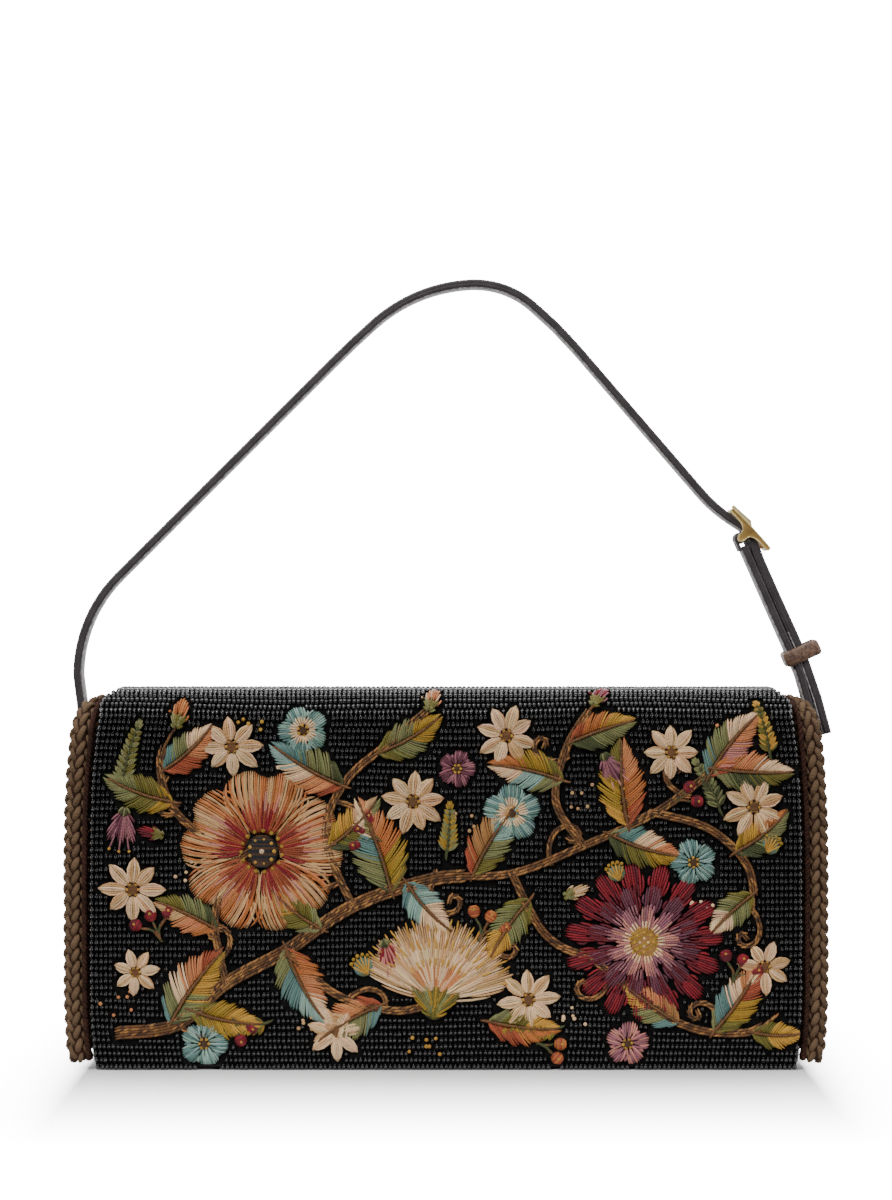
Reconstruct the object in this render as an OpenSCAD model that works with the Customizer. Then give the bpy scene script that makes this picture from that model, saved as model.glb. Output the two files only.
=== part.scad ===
// Baguette bag with a full beaded flap, plaited cord edging on the gussets
// and a leather shoulder strap with a centre bar buckle.
// Millimetres. The origin is the middle of the base, on the floor. +Z is up,
// the flap faces -Y, and the buckle is at +X.

/* [Body] */
// Width over the gussets at mid height
body_w = 260.4; // [200:0.2:320]
// Depth inside, from front wall to back panel
inner_d = 40.4; // [30:0.2:70]
// Height at which the plaited edging starts to curve over the gusset
spring_z = 119; // [90:1:160]
// How far each side leans in at that height
top_lean = 2.2; // [0:0.1:4]
// How far each side draws in at the foot
foot_lean = 2.4; // [0:0.1:4]
// Thickness of the front wall and of the gussets
wall_t = 2.2; // [1.6:0.1:3]
// Thickness of the beaded back panel
back_t = 3; // [2:0.1:4]
// Thickness of the base panel
base_t = 2.4; // [1.6:0.1:4]
// Thickness of the stiffening board inside the base
board_t = 1.5; // [1:0.1:3]
// Thickness of the lining
lining_t = 0.7; // [0.5:0.1:1.2]
// Thickness of the leather binding on the mouth
binding_t = 0.8; // [0.5:0.1:1.2]
// Height of the binding on the front wall
binding_h = 7; // [4:0.5:14]

/* [Slip pocket] */
// Width of the pocket on the back lining
pocket_w = 120; // [80:1:180]
// Height of the pocket
pocket_h = 70; // [40:1:90]
// Height of its lower edge above the floor
pocket_z = 30; // [15:1:45]
// Thickness of the pocket cloth
pocket_t = 0.8; // [0.5:0.1:1.2]

/* [Plaited cord] */
// Diameter of the cord
cord_d = 9.6; // [7:0.2:12]
// Radius of its centre line at the two top corners
arch_r = 12; // [9:0.5:16]
// How far it moves in over the gusset
arch_shift = 5.3; // [3:0.1:7]
// Gap between its feet and the floor
cord_foot = 2.6; // [1:0.1:8]

/* [Flap] */
// Thickness of the beaded cloth
bead_t = 2.3; // [1.8:0.1:3.2]
// Height of one row of beads
row_h = 2.42; // [1.8:0.02:4]
// Depth of the groove between two rows
row_groove = 0.9; // [0.3:0.1:1.2]
// Space between the front wall and the flap lining
snap_gap = 2.2; // [2:0.1:4]
// Outer radius of the front and back shoulders
shoulder_r = 11; // [8:0.5:14]
// Half width of the flap over the gusset arch
flap_half_top = 120.6; // [90:0.2:150]
// Length of the stretch over which it widens down the shoulder
flare_l = 10; // [6:0.5:12]
// Gap between the lower edge of the flap and the floor
flap_foot = 1.6; // [1:0.1:10]
// Radius of the lower corners of the flap
flap_corner_r = 6; // [3:0.5:14]

/* [Magnetic snap] */
// Radius of the two discs
snap_r = 7; // [5:0.5:9]
// Height of the snap above the floor
snap_z = 34; // [25:1:60]
// Radius of the hole that takes the nib
snap_hole_r = 2.4; // [1.8:0.1:3]
// How far the socket stands out of the front wall
socket_t = 1.2; // [0.8:0.1:1.3]
// Thickness of the stud plate
stud_t = 0.7; // [0.4:0.1:0.8]

/* [Strap] */
// Width of the strap
strap_w = 13; // [10:0.5:18]
// Thickness of the strap
strap_t = 3.3; // [2.4:0.1:4]
// Thickness of the short buckle strap
chape_t = 3.2; // [2.4:0.1:4]
// Thickness of the right tab, pared down so that the tail clears it
tab_t = 2.4; // [1.8:0.1:3.2]
// Height of the swing line above the middle of the gusset cord
swing_up = 14; // [13:0.5:20]
// Distance of the left swing line outside the gusset cord
swing_out_left = 8.4; // [6:0.2:10]
// Distance of the right swing line outside the gusset cord
swing_out_right = 2.6; // [2:0.2:4]
// Length of the short strap from the swing line to the buckle bar
chape_l = 53.2; // [45:0.2:80]
// Slope of the short strap, in degrees below level
chape_slope = 66.2; // [60:0.2:72]
// Height at which the strap ends are sewn off on the gussets
sew_z = 100; // [80:1:108]
// Straight length of the loose tail beside the short strap
tail_l = 40; // [30:1:50]

/* [Buckle and keeper] */
// Length of the buckle frame between its two end bars
buckle_l = 18.8; // [16:0.2:24]
// Radius of the end bars
end_bar_r = 0.8; // [0.6:0.1:1.2]
// Radius of the centre bar
bar_r = 1; // [0.8:0.1:1.3]
// Depth of the centre bar below the frame
stem_h = 4.8; // [4.6:0.1:6]
// Thickness of each side rail
rail_t = 1.4; // [1:0.1:2]
// Width of the raised rim on the face of a rail
rim_w = 0.45; // [0.3:0.05:0.6]
// Slope of the buckle frame, in degrees below level
buckle_slope = 47; // [44:0.5:50]
// Width of the tongue
tongue_w = 2; // [1.6:0.1:2.6]
// Height of the keeper along the strap
keeper_h = 6; // [4:0.5:8]
// Inside of the keeper across both straps
keeper_gap = 11.2; // [9:0.2:13]
// Thickness of the keeper leather
keeper_t = 1.4; // [1:0.1:2]
// Distance of the keeper above the swing line
keeper_up = 5.3; // [5:0.1:12]

/* [Hidden] */
$fn = 48;

// Clearances: a seat that only touches, between bodies, and beside the cord
touch = 0.1;
clear = 0.3;
edge_gap = 0.4;

cord_r = cord_d/2;
half_d = inner_d/2;
cord_y = half_d - 0.2;
arch_z = spring_z + arch_r;
lean_z = 50;              // the sides are widest at this height
side_steps = 14;

// How far a side has leaned in at a height, and the half width of the gussets there
function lean(z) = top_lean*pow(max(0, z - lean_z)/(spring_z - lean_z), 4)
    + foot_lean*pow(max(0, lean_z - z)/lean_z, 4);
function half_w(z) = body_w/2 - lean(z);

// Flap levels: it lies on the arch of the cord
flap_t = bead_t + lining_t;
flap_under = arch_z + cord_r + clear;
top_z = flap_under + flap_t;
fold_z = top_z - shoulder_r;
front_y = -half_d - wall_t;
flap_in_y = front_y - snap_gap;
flap_out_y = flap_in_y - flap_t;
back_out_y = half_d + back_t;
lift_y = back_out_y - shoulder_r;
wall_top = arch_z - 0.5;
hinge_gap = 0.15;

// Inner levels
floor_z = base_t + board_t;
lining_top = wall_top - binding_h - touch;

// Strap geometry, in the XZ plane. A run is [length, turn in degrees]
arch_x = half_w(spring_z) + cord_r - arch_shift;
swing_z = arch_z + swing_up;
left_end = [-arch_x - swing_out_left, swing_z];
right_end = [arch_x + swing_out_right, swing_z];
loop_t = 1.3;             // the short strap is pared down round the bar
wrap_r = bar_r + loop_t + touch + strap_t/2;
bar_p = right_end + chape_l*[-cos(chape_slope), sin(chape_slope)];
arrive_h = -33;
rise_h = 88;
rise = [[38.6, -43]];
crown = [[21, -3.3], [38.9, -38.9], [24.3, -42.7], [24, -9.3]];
up_h = heading(rise_h, rise, len(rise));
down_h = heading(up_h, crown, len(crown));
meet = [[14.7, arrive_h - down_h], [6.5, 0]];
wrap = [[wrap_r*PI/180*(chape_slope + arrive_h), -chape_slope - arrive_h]];
tail = [[tail_l, 0.9], [12, -3.9], [22, -6]];
end_r = strap_w/2;

function run_end(p, h, run) = run[1] == 0
    ? p + run[0]*[cos(h), sin(h)]
    : let (r = run[0]*180/(PI*run[1]))
        p + r*[sin(h + run[1]) - sin(h), cos(h) - cos(h + run[1])];
function run_points(p, h, run) = run[1] == 0 ? [run_end(p, h, run)]
    : let (n = max(2, ceil(abs(run[1])/5))) [for (i = [1:n]) run_end(p, h, run*i/n)];
function heading(h, runs, k) = k == 0 ? h : heading(h, runs, k - 1) + runs[k - 1][1];
function place(p, h, runs, k) = k == 0 ? p
    : run_end(place(p, h, runs, k - 1), heading(h, runs, k - 1), runs[k - 1]);
function route(p, h, runs) = concat([p], [for (k = [0:len(runs) - 1])
    each run_points(place(p, h, runs, k), heading(h, runs, k), runs[k])]);
function direction(h) = [cos(h), sin(h)];

// Two straight stretches of the strap close the route between its ends
fixed_part = place([0, 0], rise_h, rise, len(rise)) + place([0, 0], up_h, crown, len(crown))
    + place([0, 0], down_h, meet, len(meet)) - wrap_r*[-sin(arrive_h), cos(arrive_h)];
missing = bar_p - left_end - fixed_part;
cross_ud = cos(up_h)*sin(down_h) - sin(up_h)*cos(down_h);
up_l = (missing[0]*sin(down_h) - missing[1]*cos(down_h))/cross_ud;
down_l = (missing[1]*cos(up_h) - missing[0]*sin(up_h))/cross_ud;
strap_runs = concat(rise, [[up_l, 0]], crown, [[down_l, 0]], meet, wrap, tail);
strap_start = left_end - end_r*direction(rise_h);
strap_points = concat([strap_start], route(left_end, rise_h, strap_runs));
chape_start = right_end + end_r*unit(tab_points(right_end, tab_t)[1] - right_end);

// A band of even thickness along points
function unit(v) = v/norm(v);
function bend_dir(p, i) = unit((i < len(p) - 1 ? unit(p[i + 1] - p[i]) : [0, 0])
    + (i > 0 ? unit(p[i] - p[i - 1]) : [0, 0]));
function beside(p, d) = [for (i = [0:len(p) - 1]) let (t = bend_dir(p, i)) p[i] + d*[-t[1], t[0]]];
function backwards(p) = [for (i = [len(p) - 1:-1:0]) p[i]];
function band(p, t) = concat(beside(p, t/2), backwards(beside(p, -t/2)));

// A section of the bag seen from the front, drawn in by an inset
function section(inset, z0, z1) = let (right = [for (i = [0:side_steps])
    let (z = z0 + (z1 - z0)*i/side_steps) [half_w(z) - inset, z]])
    concat(right, [for (p = backwards(right)) [-p[0], p[1]]]);
function arc(c, r, a0, a1, n) = [for (i = [0:n]) c + r*direction(a0 + (a1 - a0)*i/n)];
function round_rect(w, h, r) = concat(arc([w/2 - r, h/2 - r], r, 0, 90, 6),
    arc([r - w/2, h/2 - r], r, 90, 180, 6), arc([r - w/2, r - h/2], r, 180, 270, 6),
    arc([w/2 - r, r - h/2], r, 270, 360, 6));

// Shapes drawn in XZ and made w wide along Y, and drawn in YZ and made w wide along X
module across(w) { rotate([90, 0, 0]) translate([0, 0, -w/2]) linear_extrude(w) children(); }
module between_y(y0, y1) { translate([0, (y0 + y1)/2, 0]) across(y1 - y0) children(); }
module along_x(w) { rotate([90, 0, 90]) translate([0, 0, -w/2]) linear_extrude(w) children(); }
module on_strap(p, h) { translate([p[0], 0, p[1]]) rotate([0, -h, 0]) children(); }

// Body
module base_panel() {
    color("#1d1b1c") between_y(front_y, back_out_y)
        polygon(section(edge_gap, 0, base_t));
}

module base_board() {
    color("#8a7a63") between_y(-half_d, half_d)
        polygon(section(wall_t + touch, base_t, floor_z));
}

wall_corner_r = 14;
module front_wall() {
    side = [for (i = [0:side_steps]) let (z = base_t + (wall_top - wall_corner_r - base_t)*i/side_steps)
        [half_w(z), z]];
    corner = arc([half_w(wall_top - wall_corner_r) - wall_corner_r, wall_top - wall_corner_r],
        wall_corner_r, 0, 90, 8);
    right = concat(side, corner);
    color("#201e1f") difference() {
        between_y(front_y, -half_d)
            polygon(concat(right, [for (p = backwards(right)) [-p[0], p[1]]]));
        translate([0, -half_d + 1, snap_z]) rotate([90, 0, 0]) cylinder(h = wall_t + 2, r = socket_boss_r);
    }
}

// Leather folded over the top edge of the front wall, between its rounded corners
module mouth_binding() {
    w = 2*(half_w(wall_top - wall_corner_r) - wall_corner_r);
    color("#2b2725") difference() {
        along_x(w) translate([front_y - binding_t, wall_top - binding_h])
            square([wall_t + 2*binding_t, binding_h + binding_t]);
        along_x(w + 1) translate([front_y, wall_top - binding_h - 1]) square([wall_t, binding_h + 1]);
    }
}

// Rows of beads. A height v runs up the flap from its lower edge, over the front shoulder,
// across the top, over the back shoulder and down the back panel, d below the surface
front_l = fold_z - flap_foot;
curve_l = PI/2*shoulder_r;
lift_v = front_l + curve_l + lift_y - flap_out_y - shoulder_r;
back_v = lift_v + curve_l;
foot_v = back_v + fold_z - base_t;
function skin(v, d) = v <= front_l ? [flap_out_y + d, flap_foot + v]
    : v < front_l + curve_l ? [flap_out_y + shoulder_r, fold_z]
        + (shoulder_r - d)*direction(180 - 90*(v - front_l)/curve_l)
    : v <= lift_v ? [flap_out_y + shoulder_r + v - front_l - curve_l, top_z - d]
    : v < back_v ? [lift_y, fold_z] + (shoulder_r - d)*direction(90 - 90*(v - lift_v)/curve_l)
    : [back_out_y - d, fold_z - v + back_v];
row_crest = [0.2, 0.8];   // a row's crest, as shares of its height
function groove(v) = let (u = v/row_h - floor(v/row_h))
    row_groove*max(0, 1 - min(u, 1 - u)/row_crest[0]);
function rows(v0, v1) = concat([skin(v0, groove(v0))],
    [for (k = [floor(v0/row_h):floor(v1/row_h)], u = concat([0], row_crest)) let (v = (k + u)*row_h)
        if (v > v0 + touch && v < v1 - touch) skin(v, u == 0 ? row_groove : 0)],
    [skin(v1, groove(v1))]);

// Seen from above, cloth over a shoulder is as wide as the bag at its outer face, and narrower
// beside the strap. Y runs inwards from y_out, towards +Y or -Y
function plan_half(s) = let (k = min(1, max(0, (flare_l - s)/flare_l)))
    flap_half_top + (half_w(fold_z) - edge_gap - flap_half_top)*k*k*(3 - 2*k);
plan_steps = 10;
module shoulder_plan(y_out, towards, reach) {
    flare = [for (i = [0:plan_steps]) let (s = flare_l*i/plan_steps) [plan_half(s), y_out + towards*s]];
    side = concat(flare, [[flap_half_top, y_out + towards*reach]]);
    translate([0, 0, fold_z]) linear_extrude(shoulder_r + 1)
        polygon(concat(side, [for (p = backwards(side)) [-p[0], p[1]]]));
}

// The beaded back panel runs over the back shoulder, where the flap hinges on it
module back_panel() {
    c = [lift_y, fold_z];
    color("#151517") intersection() {
        along_x(body_w) polygon(concat(rows(lift_v, foot_v),
            [[half_d, base_t]], arc(c, shoulder_r - back_t, 0, 90, 9),
            [[lift_y + hinge_gap, top_z - back_t]]));
        union() {
            across(4*inner_d) polygon(section(edge_gap, 0, fold_z + 1));
            shoulder_plan(back_out_y, -1, shoulder_r + 1);
        }
    }
}

// A gusset follows the side curve and is rounded off under the arch of the cord
module gusset_right() {
    top = arch_z - cord_r - touch;
    outer = [for (i = [0:side_steps]) let (z = base_t + (top - base_t)*i/side_steps) [half_w(z), z]];
    color("#26211f") intersection() {
        across(inner_d) polygon(concat(outer, [for (p = backwards(outer)) [p[0] - wall_t, p[1]]]));
        translate([body_w/2, 0, 0]) along_x(body_w/4)
            polygon(concat([[half_d, 0]], arc([half_d - arch_r, top - arch_r], arch_r, 0, 90, 8),
                arc([arch_r - half_d, top - arch_r], arch_r, 90, 180, 8), [[-half_d, 0]]));
    }
}
module gusset_left() { mirror([1, 0, 0]) gusset_right(); }

// Plaited cord: an arch up the front edge of the gusset, over it and down the back edge
cord_steps = 12;
cord_sides = 12;
cap = [[0, 0.62], [0.35, 0.86], [0.9, 1]];
function cord_leg(y) = [for (i = [0:cord_steps - 1])
    let (z = cord_foot + cord_r + (spring_z - cord_foot - cord_r)*i/cord_steps)
    [half_w(z) + cord_r, y, z]];
function cord_bend(s) = [for (a = [0:15:90]) [half_w(spring_z) + cord_r - arch_shift*pow(a/90, 2),
    s*(cord_y - arch_r*(1 - cos(a))), spring_z + arch_r*sin(a)]];
function cord_end(y) = [for (c = cap) [half_w(cord_foot) + cord_r, y, cord_foot + c[0]*cord_r]];
cord_path = concat(cord_end(-cord_y), cord_leg(-cord_y), cord_bend(-1),
    backwards(cord_bend(1)), backwards(cord_leg(cord_y)), backwards(cord_end(cord_y)));
cord_last = len(cord_path) - 1;
function cord_radius(i) = let (k = min(i, cord_last - i)) k < len(cap) ? cap[k][1]*cord_r : cord_r;
function cord_dir(i) = unit((i < cord_last ? unit(cord_path[i + 1] - cord_path[i]) : [0, 0, 0])
    + (i > 0 ? unit(cord_path[i] - cord_path[i - 1]) : [0, 0, 0]));
function cord_ring(i) = let (t = cord_dir(i), e = unit([1, 0, 0] - t[0]*t), f = cross(t, e))
    [for (j = [0:cord_sides - 1]) let (a = 360*j/cord_sides)
        cord_path[i] + cord_radius(i)*(cos(a)*e + sin(a)*f)];
module plait_right() {
    n = cord_sides;
    points = [for (i = [0:cord_last]) each cord_ring(i)];
    sides = [for (i = [0:cord_last - 1], j = [0:n - 1])
        let (a = i*n + j, b = i*n + (j + 1)%n) each [[a, b + n, b], [a, a + n, b + n]]];
    ends = [[for (j = [0:n - 1]) j], [for (j = [n - 1:-1:0]) cord_last*n + j]];
    color("#7a5c40") polyhedron(points, concat(sides, ends), convexity = 6);
}
module plait_left() { mirror([1, 0, 0]) plait_right(); }

module lining() {
    color("#5a4636") difference() {
        across(inner_d) polygon(section(wall_t + touch, floor_z, lining_top));
        across(inner_d - 2*lining_t)
            polygon(section(wall_t + touch + lining_t, floor_z + lining_t, lining_top + 1));
    }
}

module slip_pocket() {
    y1 = half_d - lining_t;
    color("#6a5340") between_y(y1 - pocket_t, y1) translate([0, pocket_z + pocket_h/2])
        polygon(round_rect(pocket_w, pocket_h, 6));
}

// Flap: a top that lifts on the back shoulder, and a front that folds on the front one
function flap_bend(d) = let (c = [flap_out_y + shoulder_r, fold_z], r = shoulder_r - d,
    end = [lift_y - hinge_gap, fold_z + r], foot = [c[0] - r, fold_z + hinge_gap],
    bend = arc(c, r, 175, 90, 9)) concat([foot], bend, [end]);
module flap_layer(outside, d) {
    intersection() {
        along_x(body_w) polygon(concat(outside, backwards(flap_bend(d))));
        shoulder_plan(flap_out_y, 1, lift_y - flap_out_y);
    }
}
module flap_top() {
    color("#151517") flap_layer(rows(front_l + hinge_gap, lift_v - hinge_gap), bead_t);
}
module flap_top_lining() {
    color("#3a2d25") flap_layer(flap_bend(bead_t), flap_t);
}

function flap_outline() = let (z1 = fold_z - hinge_gap, z0 = flap_foot + flap_corner_r,
    side = [for (i = [0:side_steps]) let (z = z1 + (z0 - z1)*i/side_steps) [half_w(z) - edge_gap, z]],
    corner = arc([half_w(z0) - edge_gap - flap_corner_r, z0], flap_corner_r, 0, -90, 6),
    right = concat(side, corner)) concat(right, [for (p = backwards(right)) [-p[0], p[1]]]);
module flap_front() {
    color("#151517") intersection() {
        between_y(flap_out_y, flap_out_y + bead_t) polygon(flap_outline());
        along_x(body_w) polygon(concat(rows(0, front_l - hinge_gap),
            [[flap_in_y, fold_z], [flap_in_y, flap_foot]]));
    }
}
module flap_front_lining() {
    color("#3a2d25") between_y(flap_out_y + bead_t, flap_in_y) polygon(flap_outline());
}

// Magnetic snap: the socket sits in the front wall, the stud on the flap lining
socket_boss_r = snap_hole_r + 1.6;
nib_l = socket_t;
nib_clear = 0.8;          // the nib leaves its hole on a curve as the flap lifts
module snap_socket() {
    color("#c9a24a") difference() {
        union() {
            translate([0, front_y, snap_z]) rotate([90, 0, 0]) cylinder(h = socket_t, r = snap_r);
            translate([0, front_y + wall_t - 0.4, snap_z]) rotate([90, 0, 0])
                cylinder(h = wall_t - 0.4, r = socket_boss_r - touch);
        }
        translate([0, front_y + wall_t - 1, snap_z]) rotate([90, 0, 0])
            cylinder(h = wall_t + socket_t, r = snap_hole_r);
    }
}
module snap_stud() {
    color("#c9a24a") translate([0, flap_in_y, snap_z]) rotate([-90, 0, 0]) {
        cylinder(h = stud_t, r = snap_r);
        cylinder(h = stud_t + nib_l, r = snap_hole_r - nib_clear);
    }
}

// Strap ends: each hangs from the swing line, lies over the cord and is sewn to the gusset
module round_end_up(z) {
    along_x(4*body_w) polygon(concat(arc([0, z], end_r, 0, 180, 24), [[-end_r, 0], [end_r, 0]]));
}
function tab_points(p, t) = let (c = [arch_x, arch_z], r = cord_r + t/2 + touch, d = p - c,
    q = [half_w(spring_z) + t/2, spring_z], e = q - c,
    a1 = atan2(d[1], d[0]) - acos(r/norm(d)), a2 = atan2(e[1], e[0]) + acos(r/norm(e)))
    concat([p], arc(c, r, a1, a2, 6), [q, [half_w(sew_z) + t/2, sew_z]]);
module strap_tab(p, t) {
    color("#4b4546") difference() {
        intersection() {
            across(strap_w) polygon(band(tab_points(p, t), t));
            round_end_up(swing_z - end_r - clear - end_r);
        }
        across(strap_w + 1) polygon(section(0, 0, arch_z - cord_r));
    }
}
module strap_tab_left() { mirror([1, 0, 0]) strap_tab([-left_end[0], left_end[1]], strap_t); }
module strap_tab_right() { strap_tab(right_end, tab_t); }

// Everything above the swing line, rounded at its lower ends about that line
module above_swing(w) {
    along_x(4*body_w) polygon(concat(arc([0, swing_z], w/2, 180, 360, 24),
        [[w/2, 4*swing_z], [-w/2, 4*swing_z]]));
}
slot_w = tongue_w + 2*clear;
module strap() {
    color("#4b4546") difference() {
        intersection() {
            across(strap_w) polygon(band(strap_points, strap_t));
            union() {
                above_swing(strap_w);
                translate([arch_x, -strap_w, 0]) cube([4*cord_d, 2*strap_w, swing_z]);
            }
        }
        on_strap(bar_p, -buckle_slope) translate([-2.2, -slot_w/2, 0]) cube([5.4, slot_w, 2*wrap_r]);
        tail_tip();
    }
}
// The loose end of the tail is cut to a round tongue
module tail_tip() {
    h = heading(rise_h, strap_runs, len(strap_runs));
    p = place(left_end, rise_h, strap_runs, len(strap_runs));
    on_strap(p, h) difference() {
        translate([-end_r, -strap_w, -strap_t]) cube([2*end_r, 2*strap_w, 2*strap_t]);
        translate([-end_r, 0, -2*strap_t]) cylinder(h = 4*strap_t, r = end_r);
    }
}

// Short strap that carries the buckle on a loop round the centre bar
loop_r = 3.1;
loop_drop = 0.85;
module buckle_strap() {
    h = 180 - chape_slope;
    color("#4b4546") difference() {
        union() {
            intersection() {
                across(strap_w) polygon(band([chape_start, right_end, bar_p], chape_t));
                above_swing(strap_w);
            }
            on_strap(bar_p, -buckle_slope) translate([0, strap_w/2, -loop_drop]) rotate([90, 0, 0])
                cylinder(h = strap_w, r = loop_r);
        }
        on_strap(bar_p, h) rotate([90, 0, 0]) cylinder(h = 2*strap_w, r = bar_r + touch, center = true);
        on_strap(bar_p, -buckle_slope) {
            rotate([90, 0, 0]) cylinder(h = slot_w, r = tongue_ring_r + clear, center = true);
            translate([-2.4, -slot_w/2, 0]) cube([5.8, slot_w, 2*loop_r]);
        }
    }
}

// Buckle: two side rails with a stem each, joined by two end bars and the centre bar
buckle_half = strap_w/2 + 0.5 + rail_t;
stem_w = 2.5;
rail_steps = 24;
rail_r = end_bar_r + 0.15;
rail_crown = 0.25;
foot_z = stem_h + bar_r + 0.35;
recess = 0.35;
function rail_over(u, cut) = rail_r - cut + rail_crown*(1 - pow(2*u/buckle_l, 2));
function rail_under(u, cut) = cut - rail_r - (foot_z - rail_r)*exp(-pow(abs(u)/(stem_w - cut/2), 2.4));
module rail_profile(cut) {
    l = buckle_l/2;
    polygon(concat([for (i = [1:rail_steps - 1]) let (u = l - 2*l*i/rail_steps) [u, rail_over(u, cut)]],
        arc([-l, 0], rail_r - cut, 90, 270, 12),
        [for (i = [1:rail_steps - 1]) let (u = 2*l*i/rail_steps - l) [u, rail_under(u, cut)]],
        arc([l, 0], rail_r - cut, -90, 90, 12)));
}
module rail() {
    difference() {
        across(rail_t) rail_profile(0);
        translate([0, -rail_t/2, 0]) across(2*recess) rail_profile(rim_w);
    }
}
module buckle_frame() {
    bar_l = 2*buckle_half - rail_t;
    color("#d9bd74") on_strap(bar_p, -buckle_slope) translate([0, 0, stem_h]) {
        translate([0, rail_t/2 - buckle_half, 0]) rail();
        mirror([0, 1, 0]) translate([0, rail_t/2 - buckle_half, 0]) rail();
        for (s = [-1, 1]) translate([s*buckle_l/2, 0, 0]) rotate([90, 0, 0])
            cylinder(h = bar_l, r = end_bar_r, center = true);
        translate([0, 0, -stem_h]) rotate([90, 0, 0]) cylinder(h = bar_l, r = bar_r, center = true);
    }
}

// Tongue: a ring that turns on the centre bar, and a prong that lies on the upper end bar
tongue_ring_r = 2;
tongue_t = 1.3;
tongue_fit = 0.05;
module buckle_tongue() {
    tip = [-buckle_l/2 - 1.2, stem_h + end_bar_r + touch + tongue_t/2];
    knee = [-2.2, stem_h + 2.3];
    color("#d9bd74") on_strap(bar_p, -buckle_slope) difference() {
        union() {
            rotate([90, 0, 0]) cylinder(h = tongue_w, r = tongue_ring_r, center = true);
            across(tongue_w) polygon(band([[0, 0], [-0.5, stem_h + 1.2], knee, tip], tongue_t));
        }
        rotate([90, 0, 0]) cylinder(h = 2*tongue_w, r = bar_r + tongue_fit, center = true);
    }
}

// Loose leather loop that holds the tail against the short strap
module keeper() {
    inner_y = strap_w + 2*clear;
    p = right_end + keeper_up*[-cos(chape_slope), sin(chape_slope)];
    color("#6b4837") on_strap(p, 180 - chape_slope) along_x(keeper_h)
        translate([0, chape_t/2 + clear - keeper_gap/2]) difference() {
            polygon(round_rect(inner_y + 2*keeper_t, keeper_gap + 2*keeper_t, 2.2));
            polygon(round_rect(inner_y, keeper_gap, 1));
        }
}

base_panel();
base_board();
front_wall();
mouth_binding();
back_panel();
gusset_left();
gusset_right();
plait_left();
plait_right();
lining();
slip_pocket();
flap_top();
flap_top_lining();
flap_front();
flap_front_lining();
snap_socket();
snap_stud();
strap_tab_left();
strap_tab_right();
strap();
buckle_strap();
buckle_frame();
buckle_tongue();
keeper();
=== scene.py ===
"""Looks of the baguette bag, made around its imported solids.

Sizes in this file are in millimetres, as in the part's source, and meshes are in metres.
-Y is the flap side. A height v runs up the outside of the flap from its hem, over the
front shoulder, across the top, over the back shoulder and down the back panel.
"""

import math
import random

import bmesh
import bpy
import numpy as np
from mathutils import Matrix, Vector, kdtree


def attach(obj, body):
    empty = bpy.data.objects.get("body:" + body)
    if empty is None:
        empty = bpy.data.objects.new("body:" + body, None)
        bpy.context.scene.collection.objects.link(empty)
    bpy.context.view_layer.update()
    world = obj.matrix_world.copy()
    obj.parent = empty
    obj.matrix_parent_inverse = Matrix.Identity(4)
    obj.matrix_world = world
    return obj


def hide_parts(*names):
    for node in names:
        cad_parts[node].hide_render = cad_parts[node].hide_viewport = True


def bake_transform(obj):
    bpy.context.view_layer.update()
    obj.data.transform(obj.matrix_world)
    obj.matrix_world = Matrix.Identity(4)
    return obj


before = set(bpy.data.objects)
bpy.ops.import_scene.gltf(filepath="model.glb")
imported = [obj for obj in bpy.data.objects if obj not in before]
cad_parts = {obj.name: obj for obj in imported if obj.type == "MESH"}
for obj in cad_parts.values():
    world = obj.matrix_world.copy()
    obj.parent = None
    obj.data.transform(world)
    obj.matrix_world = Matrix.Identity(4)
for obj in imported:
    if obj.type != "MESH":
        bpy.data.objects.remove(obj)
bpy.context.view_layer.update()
MM = 0.001
pick = random.Random(11)
noise = np.random.default_rng(11)

# Sizes of the body, as in the part's source
BODY_W, INNER_D, WALL_T, BASE_T = 260.4, 40.4, 2.2, 2.4
SPRING_Z, ARCH_R, ARCH_SHIFT, CORD_R, CORD_Y, CORD_FOOT = 119.0, 12.0, 5.3, 4.8, 20.0, 2.6
TOP_LEAN, FOOT_LEAN, LEAN_Z = 2.2, 2.4, 50.0
SHOULDER_R, TOP_Z, FOLD_Z = 11.0, 139.1, 128.1
FLAP_Y, BACK_Y, LIFT_Y, FRONT_Y = -27.6, 23.2, 12.2, -22.4
FLAP_FOOT, FLAP_TOP_HALF, FLARE_L, EDGE_GAP = 1.6, 120.6, 10.0, 0.4
WALL_TOP, FLOOR_Z, LINING_TOP = 130.5, 3.9, 123.4
SWING_Z, STRAP_W, STRAP_T, CHAPE_T = 145.0, 13.0, 3.3, 3.2

# Lengths of the stretches that a height v runs through
FRONT_L = FOLD_Z - FLAP_FOOT
CURVE_L = math.pi / 2 * SHOULDER_R
TOP_L = LIFT_Y - (FLAP_Y + SHOULDER_R)
LIFT_V = FRONT_L + CURVE_L + TOP_L
BACK_V = LIFT_V + CURVE_L
FOOT_V = BACK_V + FOLD_Z - BASE_T


def half_w(z):
    """Half the width over the gussets at a height above the floor."""
    z = np.asarray(z, float)
    return (BODY_W / 2 - TOP_LEAN * (np.maximum(0, z - LEAN_Z) / (SPRING_Z - LEAN_Z)) ** 4
            - FOOT_LEAN * (np.maximum(0, LEAN_Z - z) / LEAN_Z) ** 4)


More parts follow.
